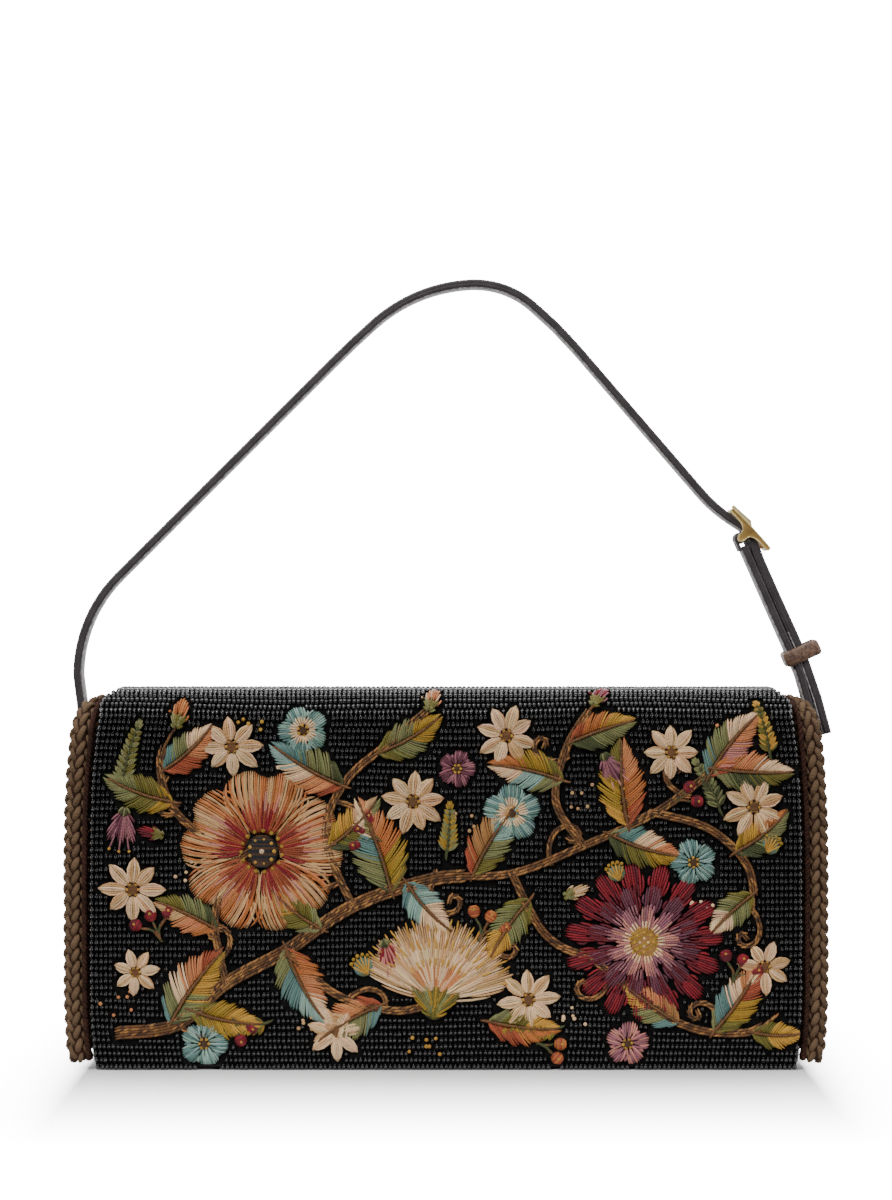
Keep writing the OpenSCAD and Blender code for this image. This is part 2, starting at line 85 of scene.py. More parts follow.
def skin(v, depth=0.0):
    """Point (y, z) on the outside of the bag at a height v, at a depth under it, and the way out."""
    v, depth = np.broadcast_arrays(np.asarray(v, float), np.asarray(depth, float))
    a1 = np.pi - (v - FRONT_L) / SHOULDER_R
    a2 = np.pi / 2 - (v - LIFT_V) / SHOULDER_R
    r = SHOULDER_R - depth
    where = [v < FRONT_L, v < FRONT_L + CURVE_L, v < LIFT_V, v < BACK_V]
    y = np.select(where, [FLAP_Y + depth, FLAP_Y + SHOULDER_R + r * np.cos(a1),
                          FLAP_Y + SHOULDER_R + v - FRONT_L - CURVE_L, LIFT_Y + r * np.cos(a2)],
                  BACK_Y - depth)
    z = np.select(where, [FLAP_FOOT + v, FOLD_Z + r * np.sin(a1), TOP_Z - depth,
                          FOLD_Z + r * np.sin(a2)], FOLD_Z - (v - BACK_V))
    ny = np.select(where, [-1.0, np.cos(a1), 0.0, np.cos(a2)], 1.0)
    nz = np.select(where, [0.0, np.sin(a1), 1.0, np.sin(a2)], 0.0)
    return y, z, ny, nz


def half_at(v):
    """Half the width of the beaded cloth at a height v."""
    y, z, _, _ = skin(v)
    s = np.where(np.asarray(v) < LIFT_V, y - FLAP_Y, BACK_Y - y)
    k = np.clip((FLARE_L - s) / FLARE_L, 0, 1)
    full = half_w(np.minimum(z, FOLD_Z)) - EDGE_GAP
    return FLAP_TOP_HALF + (full - FLAP_TOP_HALF) * k * k * (3 - 2 * k)


def run_along(points):
    """How far along a line of points each one lies."""
    return np.concatenate([[0], np.cumsum(np.linalg.norm(np.diff(points, axis=0), axis=1))])


def between(where, run, values):
    """Rows of three values, taken at places along a run."""
    return np.stack([np.interp(where, run, values[:, k]) for k in range(3)], -1)


def evenly(points, step):
    """Points at even steps along a line of points."""
    run = run_along(points)
    want = np.linspace(0, run[-1], int(run[-1] / step) + 1)
    return want, between(want, run, points)


# Meshes

def new_piece(name, co, sizes, corners, material, smooth=True):
    """A mesh piece from points in millimetres and faces as flat corner lists."""
    mesh = bpy.data.meshes.new(name)
    mesh.vertices.add(len(co))
    mesh.vertices.foreach_set("co", (np.asarray(co, np.float32) * MM).ravel())
    mesh.loops.add(len(corners))
    mesh.loops.foreach_set("vertex_index", np.asarray(corners, np.int32))
    mesh.polygons.add(len(sizes))
    starts = np.concatenate([[0], np.cumsum(sizes)[:-1]]).astype(np.int32)
    mesh.polygons.foreach_set("loop_start", starts)
    mesh.update(calc_edges=True)
    mesh.polygons.foreach_set("use_smooth", [smooth] * len(sizes))
    piece = bpy.data.objects.new(name, mesh)
    bpy.context.scene.collection.objects.link(piece)
    mesh.materials.append(material)
    return piece


def tubes(name, centres, ups, radii, sides, material, tones=None, flat=1.0):
    """Many threads in one piece. centres and ups are [thread, ring, 3], radii is [thread, ring]."""
    n, rings, _ = centres.shape
    along = np.gradient(centres, axis=1)
    along /= np.linalg.norm(along, axis=2, keepdims=True) + 1e-9
    side = np.cross(along, ups)
    side /= np.linalg.norm(side, axis=2, keepdims=True) + 1e-9
    out = np.cross(side, along)
    angles = 2 * np.pi * (np.arange(sides) + 0.25) / sides
    ring = np.cos(angles)[:, None] * side[:, :, None] + flat * np.sin(angles)[:, None] * out[:, :, None]
    co = centres[:, :, None] + radii[:, :, None, None] * ring
    index = np.arange(n * rings * sides).reshape(n, rings, sides)
    here, there = index[:, :-1], index[:, 1:]
    quads = np.stack([here, there, np.roll(there, -1, 2), np.roll(here, -1, 2)], -1).reshape(-1, 4)
    caps = np.concatenate([index[:, 0], index[:, -1, ::-1]])
    sizes = np.concatenate([np.full(len(quads), 4), np.full(len(caps), sides)])
    corners = np.concatenate([quads.ravel(), caps.ravel()])
    piece = new_piece(name, co.reshape(-1, 3), sizes, corners, material)
    steps = np.linalg.norm(np.diff(centres, axis=1), axis=2)
    run = np.concatenate([np.zeros((n, 1)), np.cumsum(steps, axis=1)], axis=1)
    length = np.repeat(run[:, :, None], sides, axis=2).ravel()
    around = np.tile(np.arange(sides) / sides, n * rings)
    uv = np.stack([length[corners], around[corners]], -1).astype(np.float32)
    piece.data.uv_layers.new(name="lay").data.foreach_set("uv", uv.ravel())
    if tones is not None:
        add_tones(piece, np.repeat(tones, rings * sides, axis=0))
    return piece


def add_tones(piece, tones):
    """Stores a colour at every point of a piece."""
    rgba = np.concatenate([tones, np.ones((len(tones), 1))], axis=1).astype(np.float32)
    tone = piece.data.attributes.new("tone", "FLOAT_COLOR", "POINT")
    tone.data.foreach_set("color", rgba.ravel())


def copies(name, master, places, turns, scales, material):
    """One piece with a copy of a master mesh at each place. turns are 3 by 3, scales a number each."""
    mesh = master.data
    co = np.zeros(len(mesh.vertices) * 3)
    mesh.vertices.foreach_get("co", co)
    co = co.reshape(-1, 3) / MM
    sizes = np.array([len(p.vertices) for p in mesh.polygons])
    corners = np.concatenate([list(p.vertices) for p in mesh.polygons])
    n = len(places)
    every = np.einsum("nij,mj->nmi", turns, co) * scales[:, None, None] + places[:, None]
    shift = np.arange(n)[:, None] * len(co)
    corners = (corners[None] + shift).ravel()
    return new_piece(name, every.reshape(-1, 3), np.tile(sizes, n), corners, material)


def only(piece):
    """Leaves edit mode and makes a piece the only one selected."""
    if bpy.context.object and bpy.context.object.mode == "EDIT":
        bpy.ops.object.mode_set(mode="OBJECT")
    bpy.ops.object.select_all(action="DESELECT")
    bpy.context.view_layer.objects.active = piece
    piece.select_set(True)


def edit(piece):
    """Enters edit mode with the whole piece selected."""
    only(piece)
    bpy.ops.object.mode_set(mode="EDIT")
    bpy.ops.mesh.select_all(action="SELECT")


def choose(piece, kind, test):
    """Enters edit mode with just the vertices, edges or faces selected that pass a test."""
    edit(piece)
    bpy.ops.mesh.select_mode(type=kind)
    bpy.ops.mesh.select_all(action="DESELECT")
    bpy.ops.object.mode_set(mode="OBJECT")
    mesh = piece.data
    for part in {"VERT": mesh.vertices, "EDGE": mesh.edges, "FACE": mesh.polygons}[kind]:
        part.select = bool(test(part))
    bpy.ops.object.mode_set(mode="EDIT")


def apply_place(piece):
    """Puts the place, turn and scale of a piece in its mesh."""
    only(piece)
    bpy.ops.object.transform_apply(location=True, rotation=True, scale=True)


def done(piece, angle=40):
    """Finishes a piece: its place goes in its mesh, and faces that meet below the angle look smooth."""
    apply_place(piece)
    bpy.ops.object.shade_smooth_by_angle(angle=math.radians(angle))
    return piece


def apply_modifier(piece, kind, **values):
    only(piece)
    modifier = piece.modifiers.new(kind.lower(), kind)
    for key, value in values.items():
        setattr(modifier, key, value)
    bpy.ops.object.modifier_apply(modifier=modifier.name)


def ease(piece, width, segments, angle, **more):
    """Rounds every edge that is sharper than an angle."""
    apply_modifier(piece, "BEVEL", width=width * MM, segments=segments, limit_method="ANGLE",
                   angle_limit=math.radians(angle), **more)


def named(name, material):
    """Names the piece that was just made and gives it its material."""
    piece = bpy.context.object
    piece.name = piece.data.name = name
    piece.data.materials.clear()
    piece.data.materials.append(material)
    return piece


def box(name, size, centre, material):
    """A block of a size round a centre."""
    bpy.ops.mesh.primitive_cube_add(size=1, location=[c * MM for c in centre])
    piece = named(name, material)
    piece.scale = [c * MM for c in size]
    apply_place(piece)
    return piece


# Materials

BANDS = 0.314  # scale at which a wave texture makes one band to the millimetre


def shader(name, **sockets):
    """A material and its principled shader. Plain numbers and colours go straight to its sockets."""
    material = bpy.data.materials.new(name)
    material.use_nodes = True
    principled = material.node_tree.nodes["Principled BSDF"]
    for key, value in sockets.items():
        principled.inputs[key.replace("_", " ")].default_value = value
    return material, material.node_tree, principled


def node(tree, kind, inputs=(), **settings):
    made = tree.nodes.new(kind)
    for key, value in settings.items():
        setattr(made, key, value)
    for key, value in dict(inputs).items():
        if isinstance(value, bpy.types.NodeSocket):
            tree.links.new(value, made.inputs[key])
        else:
            made.inputs[key].default_value = value
    return made


def placed(tree):
    """Object coordinates in millimetres."""
    where = node(tree, "ShaderNodeTexCoord").outputs["Object"]
    return node(tree, "ShaderNodeMapping", {"Vector": where, "Scale": [1 / MM] * 3}).outputs[0]


def maths(tree, operation, *values, kind="Math", out=0, **settings):
    """The result of a maths node on numbers and sockets."""
    made = node(tree, "ShaderNode" + kind, dict(enumerate(values)), operation=operation, **settings)
    return made.outputs[out]


def ranged(tree, value, target, source=(0.0, 1.0), **settings):
    """A value carried over from one range to another."""
    inputs = {"Value": value, "From Min": source[0], "From Max": source[1],
              "To Min": target[0], "To Max": target[1]}
    return node(tree, "ShaderNodeMapRange", inputs, **settings).outputs[0]


def clouds(tree, where, scale, detail):
    """Soft noise, with a scale per millimetre."""
    made = node(tree, "ShaderNodeTexNoise", {"Vector": where, "Scale": scale, "Detail": detail})
    return made.outputs["Fac"]


def mottled(tree, where, dark, light, scale):
    """A colour that drifts between two tones."""
    ramp = node(tree, "ShaderNodeValToRGB", {"Fac": clouds(tree, where, scale, 4)})
    low, high = ramp.color_ramp.elements
    low.position, high.position = 0.35, 0.65
    low.color, high.color = (*dark, 1), (*light, 1)
    return ramp.outputs["Color"]


def raise_by(tree, principled, height, distance):
    """Bumps the surface up by a height, at most a distance in millimetres."""
    bump = node(tree, "ShaderNodeBump", {"Height": height, "Distance": distance * MM, "Strength": 1.0})
    tree.links.new(bump.outputs[0], principled.inputs["Normal"])


def spread(tree, principled, value, low, high):
    """Roughness that drifts with a value."""
    tree.links.new(ranged(tree, value, (low, high)), principled.inputs["Roughness"])


def leather(name, dark, light, grain=0.8, gloss=(0.38, 0.58), depth=0.10, drift=0.16):
    """Pebbled leather: cells as wide as the grain, with fine wrinkles and patches of tone."""
    material, tree, principled = shader(name, Specular_IOR_Level=0.5)
    where = placed(tree)
    tree.links.new(mottled(tree, where, dark, light, drift), principled.inputs["Base Color"])
    cells = node(tree, "ShaderNodeTexVoronoi", {"Vector": where, "Scale": 1 / grain},
                 feature="DISTANCE_TO_EDGE").outputs["Distance"]
    fine = clouds(tree, where, 2.2 / grain, 5)
    raise_by(tree, principled, maths(tree, "ADD", cells, fine), depth)
    spread(tree, principled, fine, *gloss)
    return material


def cloth(name, dark, light, thread=0.45, sheen=0.05, gloss=0.25):
    """Plain weave: two bands of threads, across each other."""
    material, tree, principled = shader(name, Sheen_Weight=sheen, Sheen_Roughness=0.4, Roughness=0.85,
                                        Specular_IOR_Level=gloss)
    where = placed(tree)
    tree.links.new(mottled(tree, where, dark, light, 0.3), principled.inputs["Base Color"])
    wave = {"Vector": where, "Scale": BANDS / thread, "Distortion": 0.4, "Detail": 1}
    bands = [node(tree, "ShaderNodeTexWave", wave, bands_direction=axis, wave_profile="SIN").outputs["Fac"]
             for axis in "XZ"]
    raise_by(tree, principled, maths(tree, "MULTIPLY", *bands), 0.08)
    return material


def metal(name, colour, rough, metallic=1.0):
    """Cast metal with patches of wear."""
    material, tree, principled = shader(name, Metallic=metallic)
    where = placed(tree)
    lighter = [min(1, c * 1.12) for c in colour]
    tree.links.new(mottled(tree, where, colour, lighter, 0.5), principled.inputs["Base Color"])
    wear = clouds(tree, where, 3.0, 6)
    spread(tree, principled, wear, rough, rough + 0.14)
    raise_by(tree, principled, wear, 0.01)
    return material


def yarn(name, tones=None, twist=0.55, rough=0.6, sheen=0.06, depth=0.05, gloss=0.3):
    """Twisted thread: fine diagonal plies that follow its lay. It takes two tones, or each point's own."""
    material, tree, principled = shader(name, Roughness=rough, Sheen_Weight=sheen, Sheen_Roughness=0.35,
                                        Specular_IOR_Level=gloss)
    where = placed(tree)
    if tones:
        colour = mottled(tree, where, *tones, 0.35)
    else:
        tone = node(tree, "ShaderNodeAttribute", attribute_name="tone").outputs["Color"]
        fibre = clouds(tree, where, 1.6, 3)
        colour = maths(tree, "MULTIPLY", tone, ranged(tree, fibre, (0.72, 1.2)), kind="VectorMath")
    tree.links.new(colour, principled.inputs["Base Color"])
    lay = node(tree, "ShaderNodeUVMap", uv_map="lay").outputs[0]
    lay = node(tree, "ShaderNodeMapping", {"Vector": lay, "Scale": (1 / twist, 1.0, 1.0)}).outputs[0]
    plies = node(tree, "ShaderNodeTexWave", {"Vector": lay, "Scale": BANDS, "Distortion": 0.6},
                 bands_direction="DIAGONAL").outputs["Fac"]
    fuzz = clouds(tree, where, 7.0, 2)
    raise_by(tree, principled, maths(tree, "ADD", plies, fuzz), depth)
    return material


def glass_bead():
    material, tree, principled = shader("black_glass_bead", IOR=1.8)
    where = placed(tree)
    tree.links.new(mottled(tree, where, (0.0025, 0.0025, 0.003), (0.007, 0.0065, 0.007), 0.55),
                   principled.inputs["Base Color"])
    spread(tree, principled, clouds(tree, where, 0.6, 2), 0.09, 0.2)
    return material


def grey_board():
    material, tree, principled = shader("grey_board", Roughness=0.9)
    tree.links.new(mottled(tree, placed(tree), (0.20, 0.16, 0.12), (0.33, 0.27, 0.20), 0.9),
                   principled.inputs["Base Color"])
    return material


bead_glass, board_face = glass_bead(), grey_board()
backing_cloth = cloth("black_backing_cloth", (0.003, 0.003, 0.003), (0.007, 0.006, 0.006), 0.3, 0.0, 0.1)
wall_cloth = cloth("front_wall_cloth", (0.012, 0.011, 0.012), (0.026, 0.024, 0.025), 0.35)
lining_cloth = cloth("lining_cloth", (0.150, 0.100, 0.068), (0.225, 0.158, 0.110), 0.4)
flap_lining_cloth = cloth("flap_lining_cloth", (0.115, 0.074, 0.050), (0.180, 0.122, 0.084), 0.4)

silk = yarn("embroidery_thread", rough=0.55, sheen=0.04, depth=0.07)
cord_yarn = yarn("plait_yarn", twist=0.5, rough=0.8, sheen=0.04, depth=0.08, gloss=0.15)
# Near-black yarn for the plait's core and the thin seam cords: painted shade, dark in the gaps between the
# plait's strands and in the angle by the plait.
painted_shade_yarn = yarn("painted_shade_yarn", ((0.022, 0.009, 0.006), (0.050, 0.020, 0.013)), 0.5, 0.85, 0.0, 0.06, 0.15)
thread_seam = yarn("seam_thread", ((0.20, 0.17, 0.15), (0.34, 0.30, 0.27)))
dark_seam = yarn("dark_seam_thread", ((0.05, 0.04, 0.035), (0.09, 0.075, 0.065)))

strap_leather = leather("strap_leather", (0.028, 0.022, 0.024), (0.046, 0.038, 0.041), 0.55, (0.40, 0.58),
                        0.05)
under_leather = leather("pale_underside_leather", (0.15, 0.145, 0.145), (0.44, 0.42, 0.41), 0.5, (0.4, 0.7),
                        0.12, 0.7)
gusset_leather = leather("gusset_leather", (0.040, 0.025, 0.019), (0.072, 0.046, 0.034), 0.9)
base_leather = leather("base_leather", (0.020, 0.016, 0.015), (0.038, 0.030, 0.028), 0.9)
binding_leather = leather("binding_leather", (0.030, 0.021, 0.018), (0.052, 0.038, 0.032), 0.7)
keeper_leather = leather("keeper_leather", (0.060, 0.024, 0.012), (0.200, 0.110, 0.066), 0.75, (0.34, 0.55),
                         0.2, 0.9)

brass = metal("pale_gold_brass", (1.0, 0.78, 0.38), 0.26, 0.7)
# A darker gold for the sunk faces of the buckle's rails.
sunk_brass = metal("dark_gold_brass", (0.56, 0.35, 0.11), 0.36)

# Camera and light

VIEW_DISTANCE, EYE_Z, VIEW_H = 1500.0, 171.0, 436.3
camera = bpy.data.objects.new("camera", bpy.data.cameras.new("camera"))
bpy.context.scene.collection.objects.link(camera)
camera.location = (0, (FLAP_Y - VIEW_DISTANCE) * MM, EYE_Z * MM)
camera.rotation_euler = (math.pi / 2, 0, 0)
camera.data.lens = camera.data.sensor_width * VIEW_DISTANCE / VIEW_H
bpy.context.scene.camera = camera


def panel_light(name, place, aim, size, power, tint=(1, 1, 1)):
    lamp = bpy.data.objects.new(name, bpy.data.lights.new(name, "AREA"))
    bpy.context.scene.collection.objects.link(lamp)
    lamp.data.shape, lamp.data.size, lamp.data.size_y = "RECTANGLE", *size
    lamp.data.energy, lamp.data.color = power, tint
    lamp.location = place
    lamp.rotation_euler = (Vector(aim) - Vector(place)).to_track_quat("-Z", "Y").to_euler()


panel_light("key", (-0.9, -1.5, 1.5), (0, 0, 0.1), (0.6, 0.8), 38)
panel_light("fill", (1.3, -1.4, 0.8), (0, 0, 0.1), (0.5, 0.9), 12)
panel_light("top", (0, 0.1, 1.7), (0, 0, 0.1), (1.4, 1.0), 16)
panel_light("back", (0.3, 1.8, 1.0), (0, 0, 0.15), (1.2, 0.9), 18)

# The room is bright behind and beside the bag and dim in front, more sharply so in what shines
BACKDROP = 18.0
world = bpy.data.worlds.new("studio")
bpy.context.scene.world = world
world.use_nodes = True
world_tree = world.node_tree
sky = world_tree.nodes["Background"]
rays = node(world_tree, "ShaderNodeLightPath").outputs
way = node(world_tree, "ShaderNodeTexCoord").outputs["Generated"]
way = node(world_tree, "ShaderNodeSeparateXYZ", {0: way}).outputs["Y"]
room = ranged(world_tree, way, (0.05, 0.8), (-0.85, 0.1))
shine = ranged(world_tree, way, (0.1, 2.0), (-0.6, -0.15), interpolation_type="SMOOTHSTEP")
room = ranged(world_tree, rays["Is Glossy Ray"], (room, shine))
level = ranged(world_tree, rays["Is Camera Ray"], (room, BACKDROP))
world_tree.links.new(level, sky.inputs["Strength"])
sky.inputs["Color"].default_value = (1, 1, 1, 1)

# The floor shows only round the bag: it fades out with the distance from the bag's foot. The fade is a painted
# soft shadow: the lit floor's grey, darkest at the foot, paling into the white backdrop.
FLOOR_R, SHADOW_REACH, SHADOW_SIDE_FADE = 420.0, 225.0, 16.0


# A floor whose fading alpha paints a soft shadow round the bag's foot.
def floor_painted_shadow_material():
    material, tree, principled = shader("pale_floor_painted_shadow", Base_Color=(0.86, 0.86, 0.86, 1), Roughness=0.8)
    past_foot = maths(tree, "ABSOLUTE", placed(tree), kind="VectorMath")
    past_foot = maths(tree, "SUBTRACT", past_foot, (BODY_W / 2, BACK_Y, 0), kind="VectorMath")
    past_foot = maths(tree, "MAXIMUM", past_foot, (0, 0, 0), kind="VectorMath")
    past_foot = node(tree, "ShaderNodeSeparateXYZ", {0: past_foot}).outputs
    # Painted shadow: the floor is opaque grey at the bag's foot and fades out in front and at the sides.
    share = maths(tree, "POWER", maths(tree, "DIVIDE", past_foot["Y"], SHADOW_REACH), 2.0)
    shadow_fade = maths(tree, "SUBTRACT", 1.0, share, use_clamp=True)
    aside = maths(tree, "EXPONENT", maths(tree, "MULTIPLY", past_foot["X"], -1 / SHADOW_SIDE_FADE))
    tree.links.new(maths(tree, "MULTIPLY", shadow_fade, aside), principled.inputs["Alpha"])
    return material


bpy.ops.mesh.primitive_circle_add(vertices=96, radius=FLOOR_R * MM, fill_type="NGON", location=(0, 0, 0))
floor = named("floor", floor_painted_shadow_material())

# Embroidery: every stitch is a thread between two points (x, v) of the flap

CLOTH_DEPTH, THREAD_LIFT = 1.55, 0.3
CRIMSON = (0.21, 0.008, 0.016)
WINE = (0.10, 0.005, 0.012)
PLUM = (0.11, 0.028, 0.045)
MAUVE = (0.27, 0.100, 0.120)
CREAM = (0.70, 0.47, 0.27)
SAND = (0.52, 0.30, 0.135)
PEACH = (0.50, 0.185, 0.070)
CAMEL = (0.31, 0.145, 0.045)
RUST = (0.29, 0.060, 0.022)
ORANGE = (0.40, 0.125, 0.030)
GOLD = (0.46, 0.245, 0.035)
MUSTARD = (0.31, 0.180, 0.016)
OLIVE = (0.130, 0.108, 0.015)
SAGE = (0.165, 0.165, 0.060)
MOSS = (0.050, 0.058, 0.017)
TEAL = (0.095, 0.180, 0.160)
DUCK_EGG = (0.22, 0.33, 0.28)
PINK = (0.45, 0.180, 0.150)
BARK = (0.135, 0.058, 0.018)
UMBER = (0.060, 0.025, 0.009)
INK = (0.008, 0.008, 0.010)
stitches, knots = [], []


def turned(point, degrees, length=1.0, across=0.0):
    """A point a length away in a direction, and across it to the left."""
    a = math.radians(degrees)
    return (point[0] + length * math.cos(a) - across * math.sin(a),
            point[1] + length * math.sin(a) + across * math.cos(a))


def varied(colour, amount=0.2):
    k = 1 + pick.uniform(-amount, amount)
    return [max(0.0, c * k * (1 + pick.uniform(-0.06, 0.06))) for c in colour]


def stitch(a, b, colour, width=0.82, base=0.35, lift=0.8, bow=0.0):
    stitches.append((*a, *b, bow, width, base, lift, *varied(colour)))


def knot(at, r, colour, base=0.9):
    knots.append((*at, r * pick.uniform(0.9, 1.1), base, *varied(colour)))


def along_path(points, step):
    """Points and headings at even steps along a smooth line through the given points."""
    p = np.array([points[0], *points, points[-1]], float)
    fine = []
    for i in range(1, len(p) - 2):
        t = np.linspace(0, 1, 24, endpoint=False)[:, None]
        fine.append(0.5 * (2 * p[i] + (p[i + 1] - p[i - 1]) * t
                           + (2 * p[i - 1] - 5 * p[i] + 4 * p[i + 1] - p[i + 2]) * t ** 2
                           + (3 * p[i] - p[i - 1] - 3 * p[i + 1] + p[i + 2]) * t ** 3))
    fine = np.concatenate([*fine, p[-1:]])
    run = run_along(fine)
    want = np.arange(0, run[-1], step)
    x, v = (np.interp(want, run, fine[:, k]) for k in (0, 1))
    headings = np.degrees(np.arctan2(np.gradient(v), np.gradient(x))) if len(want) > 1 else [0.0]
    return list(zip(zip(x, v), headings, want / max(run[-1], 1e-6)))


def stem(points, width, colours, taper=0.0, base=0.3, lift=0.85, gap=0.95):
    """Rows of slanting stem stitch along a line, as wide as asked."""
    rows = max(1, round(width / gap))
    for row in range(rows):
        side = (row - (rows - 1) / 2) * gap
        for at, heading, t in along_path(points, 1.35):
            if abs(side) > width / 2 * (1 - taper * t) + 0.2:
                continue
            length = pick.uniform(2.4, 3.6)
            ends = [turned(at, heading, way * length / 2, side + way * 0.36) for way in (-1, 1)]
            stitch(*ends, colours[pick.randrange(len(colours))], 0.8, base, lift)


def tendril(at, heading, size, turns, colours, hand=1, width=1.7):
    """A stem that runs out and rolls up."""
    points, here = [at], at
    steps = int(10 * turns) + 6
    for i in range(steps):
        t = i / steps
        here = turned(here, heading, size * (1 - 0.83 * t) * 0.42)
        heading += hand * (360 * turns / steps) * (0.35 + 1.2 * t)
        points.append(here)
    stem(points, width, colours, base=0.25, lift=0.7)


def leaf(at, heading, length, width, tones, bend=0.0, rib=BARK, stalk=2.0, other=None, tip=1.15):
    """Fishbone leaf: slanting threads from a curved rib to both edges, its tones in bands."""
    def mid(t):
        return turned(at, heading, length * t, bend * length * t * t)

    def lean(t):
        return heading + math.degrees(math.atan(2 * bend * t))

    count = max(6, int(length / 0.78))
    for side in (1, -1):
        shades = other if other and side < 0 else tones
        for i in range(count):
            t = (i + 0.5) / count
            reach = width / 2 * math.sin(math.pi * t ** 0.85) ** 0.8 * (1 - 0.25 * t ** 3)
            reach *= 1 + 0.10 * math.sin(i * 1.15) + pick.uniform(-0.04, 0.04)
            root = mid(max(0.0, t - 0.17 * tip))
            edge = turned(mid(t), lean(t), 0, side * (reach + 0.3))
            band = min(len(shades) - 1, max(0, int((t + pick.uniform(-0.07, 0.07)) * len(shades))))
            stitch(root, edge, shades[band], 0.84, 0.35, 0.9, side * 0.35)
    stem([turned(at, heading, -stalk), mid(0.3), mid(0.65), mid(0.93)], 0.9, [rib], base=0.85, lift=0.6)


def petal(at, heading, length, width, outer, inner=None, notch=0.0, point=0.0, narrow=0.28, inner_l=0.55,
          base=0.3):
    """Satin petal: threads fan out from a narrow root to a round, notched or pointed end."""
    count = max(2, int(width / 1.5))
    for i in range(-count, count + 1):
        q = i / count
        end = length * (0.62 + 0.38 * math.sqrt(1 - min(1, q * q)) - point * abs(q) * 0.5
                        - notch * math.exp(-(q / 0.28) ** 2)) + pick.uniform(-0.35, 0.35)
        start = (0.0, 0.34, 0.14)[i % 3] * length if width > 6 else 0.0
        spread_at = narrow + (1 - narrow) * (start / max(end, 1e-6)) ** 0.8
        root = turned(at, heading, start, q * width / 2 * spread_at)
        edge = turned(at, heading, end, q * width / 2)
        stitch(root, edge, outer[pick.randrange(len(outer))], 0.92, base, 0.95, q * width * 0.07)
        if inner and i % 2 == 0 and abs(q) < 0.86:
            reach = length * inner_l * (1 - 0.35 * q * q) * pick.uniform(0.82, 1.12)
            stitch(turned(at, heading, 0.4, q * width / 2 * narrow),
                   turned(at, heading, reach, q * width / 2 * (narrow + (1 - narrow) * inner_l)),
                   inner[pick.randrange(len(inner))], 0.8, base + 0.5, 0.6, q * width * 0.04)


def ringed(at, r, count, colour, size=0.8, base=0.9, start=0.0):
    for i in range(count):
        knot(turned(at, start + 360 * i / count, r), size, colour, base)


def disc(at, r, colours, heading=0.0, base=0.5, lift=0.7):
    """A round patch of parallel satin threads."""
    count = max(2, int(r / 0.42))
    for i in range(-count + 1, count):
        across = r * i / count
        reach = math.sqrt(max(0.05, r * r - across * across))
        stitch(turned(at, heading, -reach, across), turned(at, heading, reach, across),
               colours[pick.randrange(len(colours))], 0.8, base, lift)


def daisy(at, r, count=8, tones=(CREAM, SAND), heart=(BARK, GOLD), turn=0.0):
    """Slim petals of a few bowed threads each, round a knotted heart."""
    for i in range(count):
        heading = turn + 360 * i / count + pick.uniform(-4, 4)
        reach = r * pick.uniform(0.9, 1.06)
        for bow in (1.0, 0.62, 0.22, -0.22, -0.62, -1.0):
            edge = turned(at, heading, reach * (1 - 0.06 * abs(bow)), bow * r * 0.04)
            stitch(turned(at, heading, r * 0.16), edge, tones[pick.randrange(3) > 1], 0.86,
                   0.35 + 0.25 * (abs(bow) < 0.5), 0.85, bow * r * 0.155)
    disc(at, r * 0.17, [heart[0]], base=0.7)
    ringed(at, r * 0.16, 6, heart[1], 0.62)
    knot(at, 0.7, heart[1])


def small_bloom(at, r, tones=(TEAL, DUCK_EGG), heart=GOLD, turn=0.0, count=5, inner=None):
    for i in range(count):
        heading = turn + 360 * i / count
        petal(turned(at, heading, r * 0.16), heading, r * 0.86, r * 0.9, tones, inner, narrow=0.3)
    disc(at, r * 0.17, [UMBER], base=0.8)
    ringed(at, r * 0.2, 6, heart, 0.65, 1.05, turn)


def fern(at, heading, length, pairs, tones, bend=0.0, size=6.5, rib=MOSS):
    """A frond: pairs of slim leaflets that grow shorter to the end."""
    spine = [turned(at, heading, length * t, bend * length * t * t) for t in (0, 0.25, 0.5, 0.75, 1)]
    stem(spine, 0.9, [rib], base=0.45, lift=0.6)
    for i in range(pairs):
        t = 0.12 + 0.84 * i / pairs
        root = turned(at, heading, length * t, bend * length * t * t)
        lean = heading + math.degrees(math.atan(2 * bend * t))
        reach = size * (1 - 0.62 * t)
        for side in (1, -1):
            for bow in (0.6, 0.0, -0.6):
                stitch(root, turned(root, lean + side * 48, reach * (1 - 0.1 * abs(bow))),
                       tones[(i + pick.randrange(2)) % len(tones)], 0.8, 0.32, 0.8, bow)
    petal(turned(spine[-1], lean, -1), lean, size * 0.6, 2.4, [tones[-1]])


def berry(at, r, tones=(CRIMSON, WINE), heading=90.0):
    disc(at, r, tones, heading + 90, 0.5, 1.0)
    knot(turned(at, heading, r * 0.3), 0.55, GOLD, 1.6)


def berries(at, heading, count, stalk, tones=(CRIMSON, WINE), r=2.3):
    """A spray of round berries on thin stalks."""
    for i in range(count):
        swing = (i - (count - 1) / 2) * 38
        end = turned(at, heading + swing, stalk * (1 - 0.12 * (i % 2)))
        stem([at, turned(at, heading + swing * 0.5, stalk * 0.5), end], 0.9, [BARK, MOSS])
        berry(turned(end, heading + swing, r), r, tones, heading + swing)


def bud(at, heading, length, tones, cup=(SAGE, OLIVE)):
    petal(at, heading, length, length * 0.56, tones, point=0.5)
    for swing in (26, -26, 0):
        petal(turned(at, heading, -1), heading + swing, length * 0.5, length * 0.24, cup, point=0.6, base=0.9)


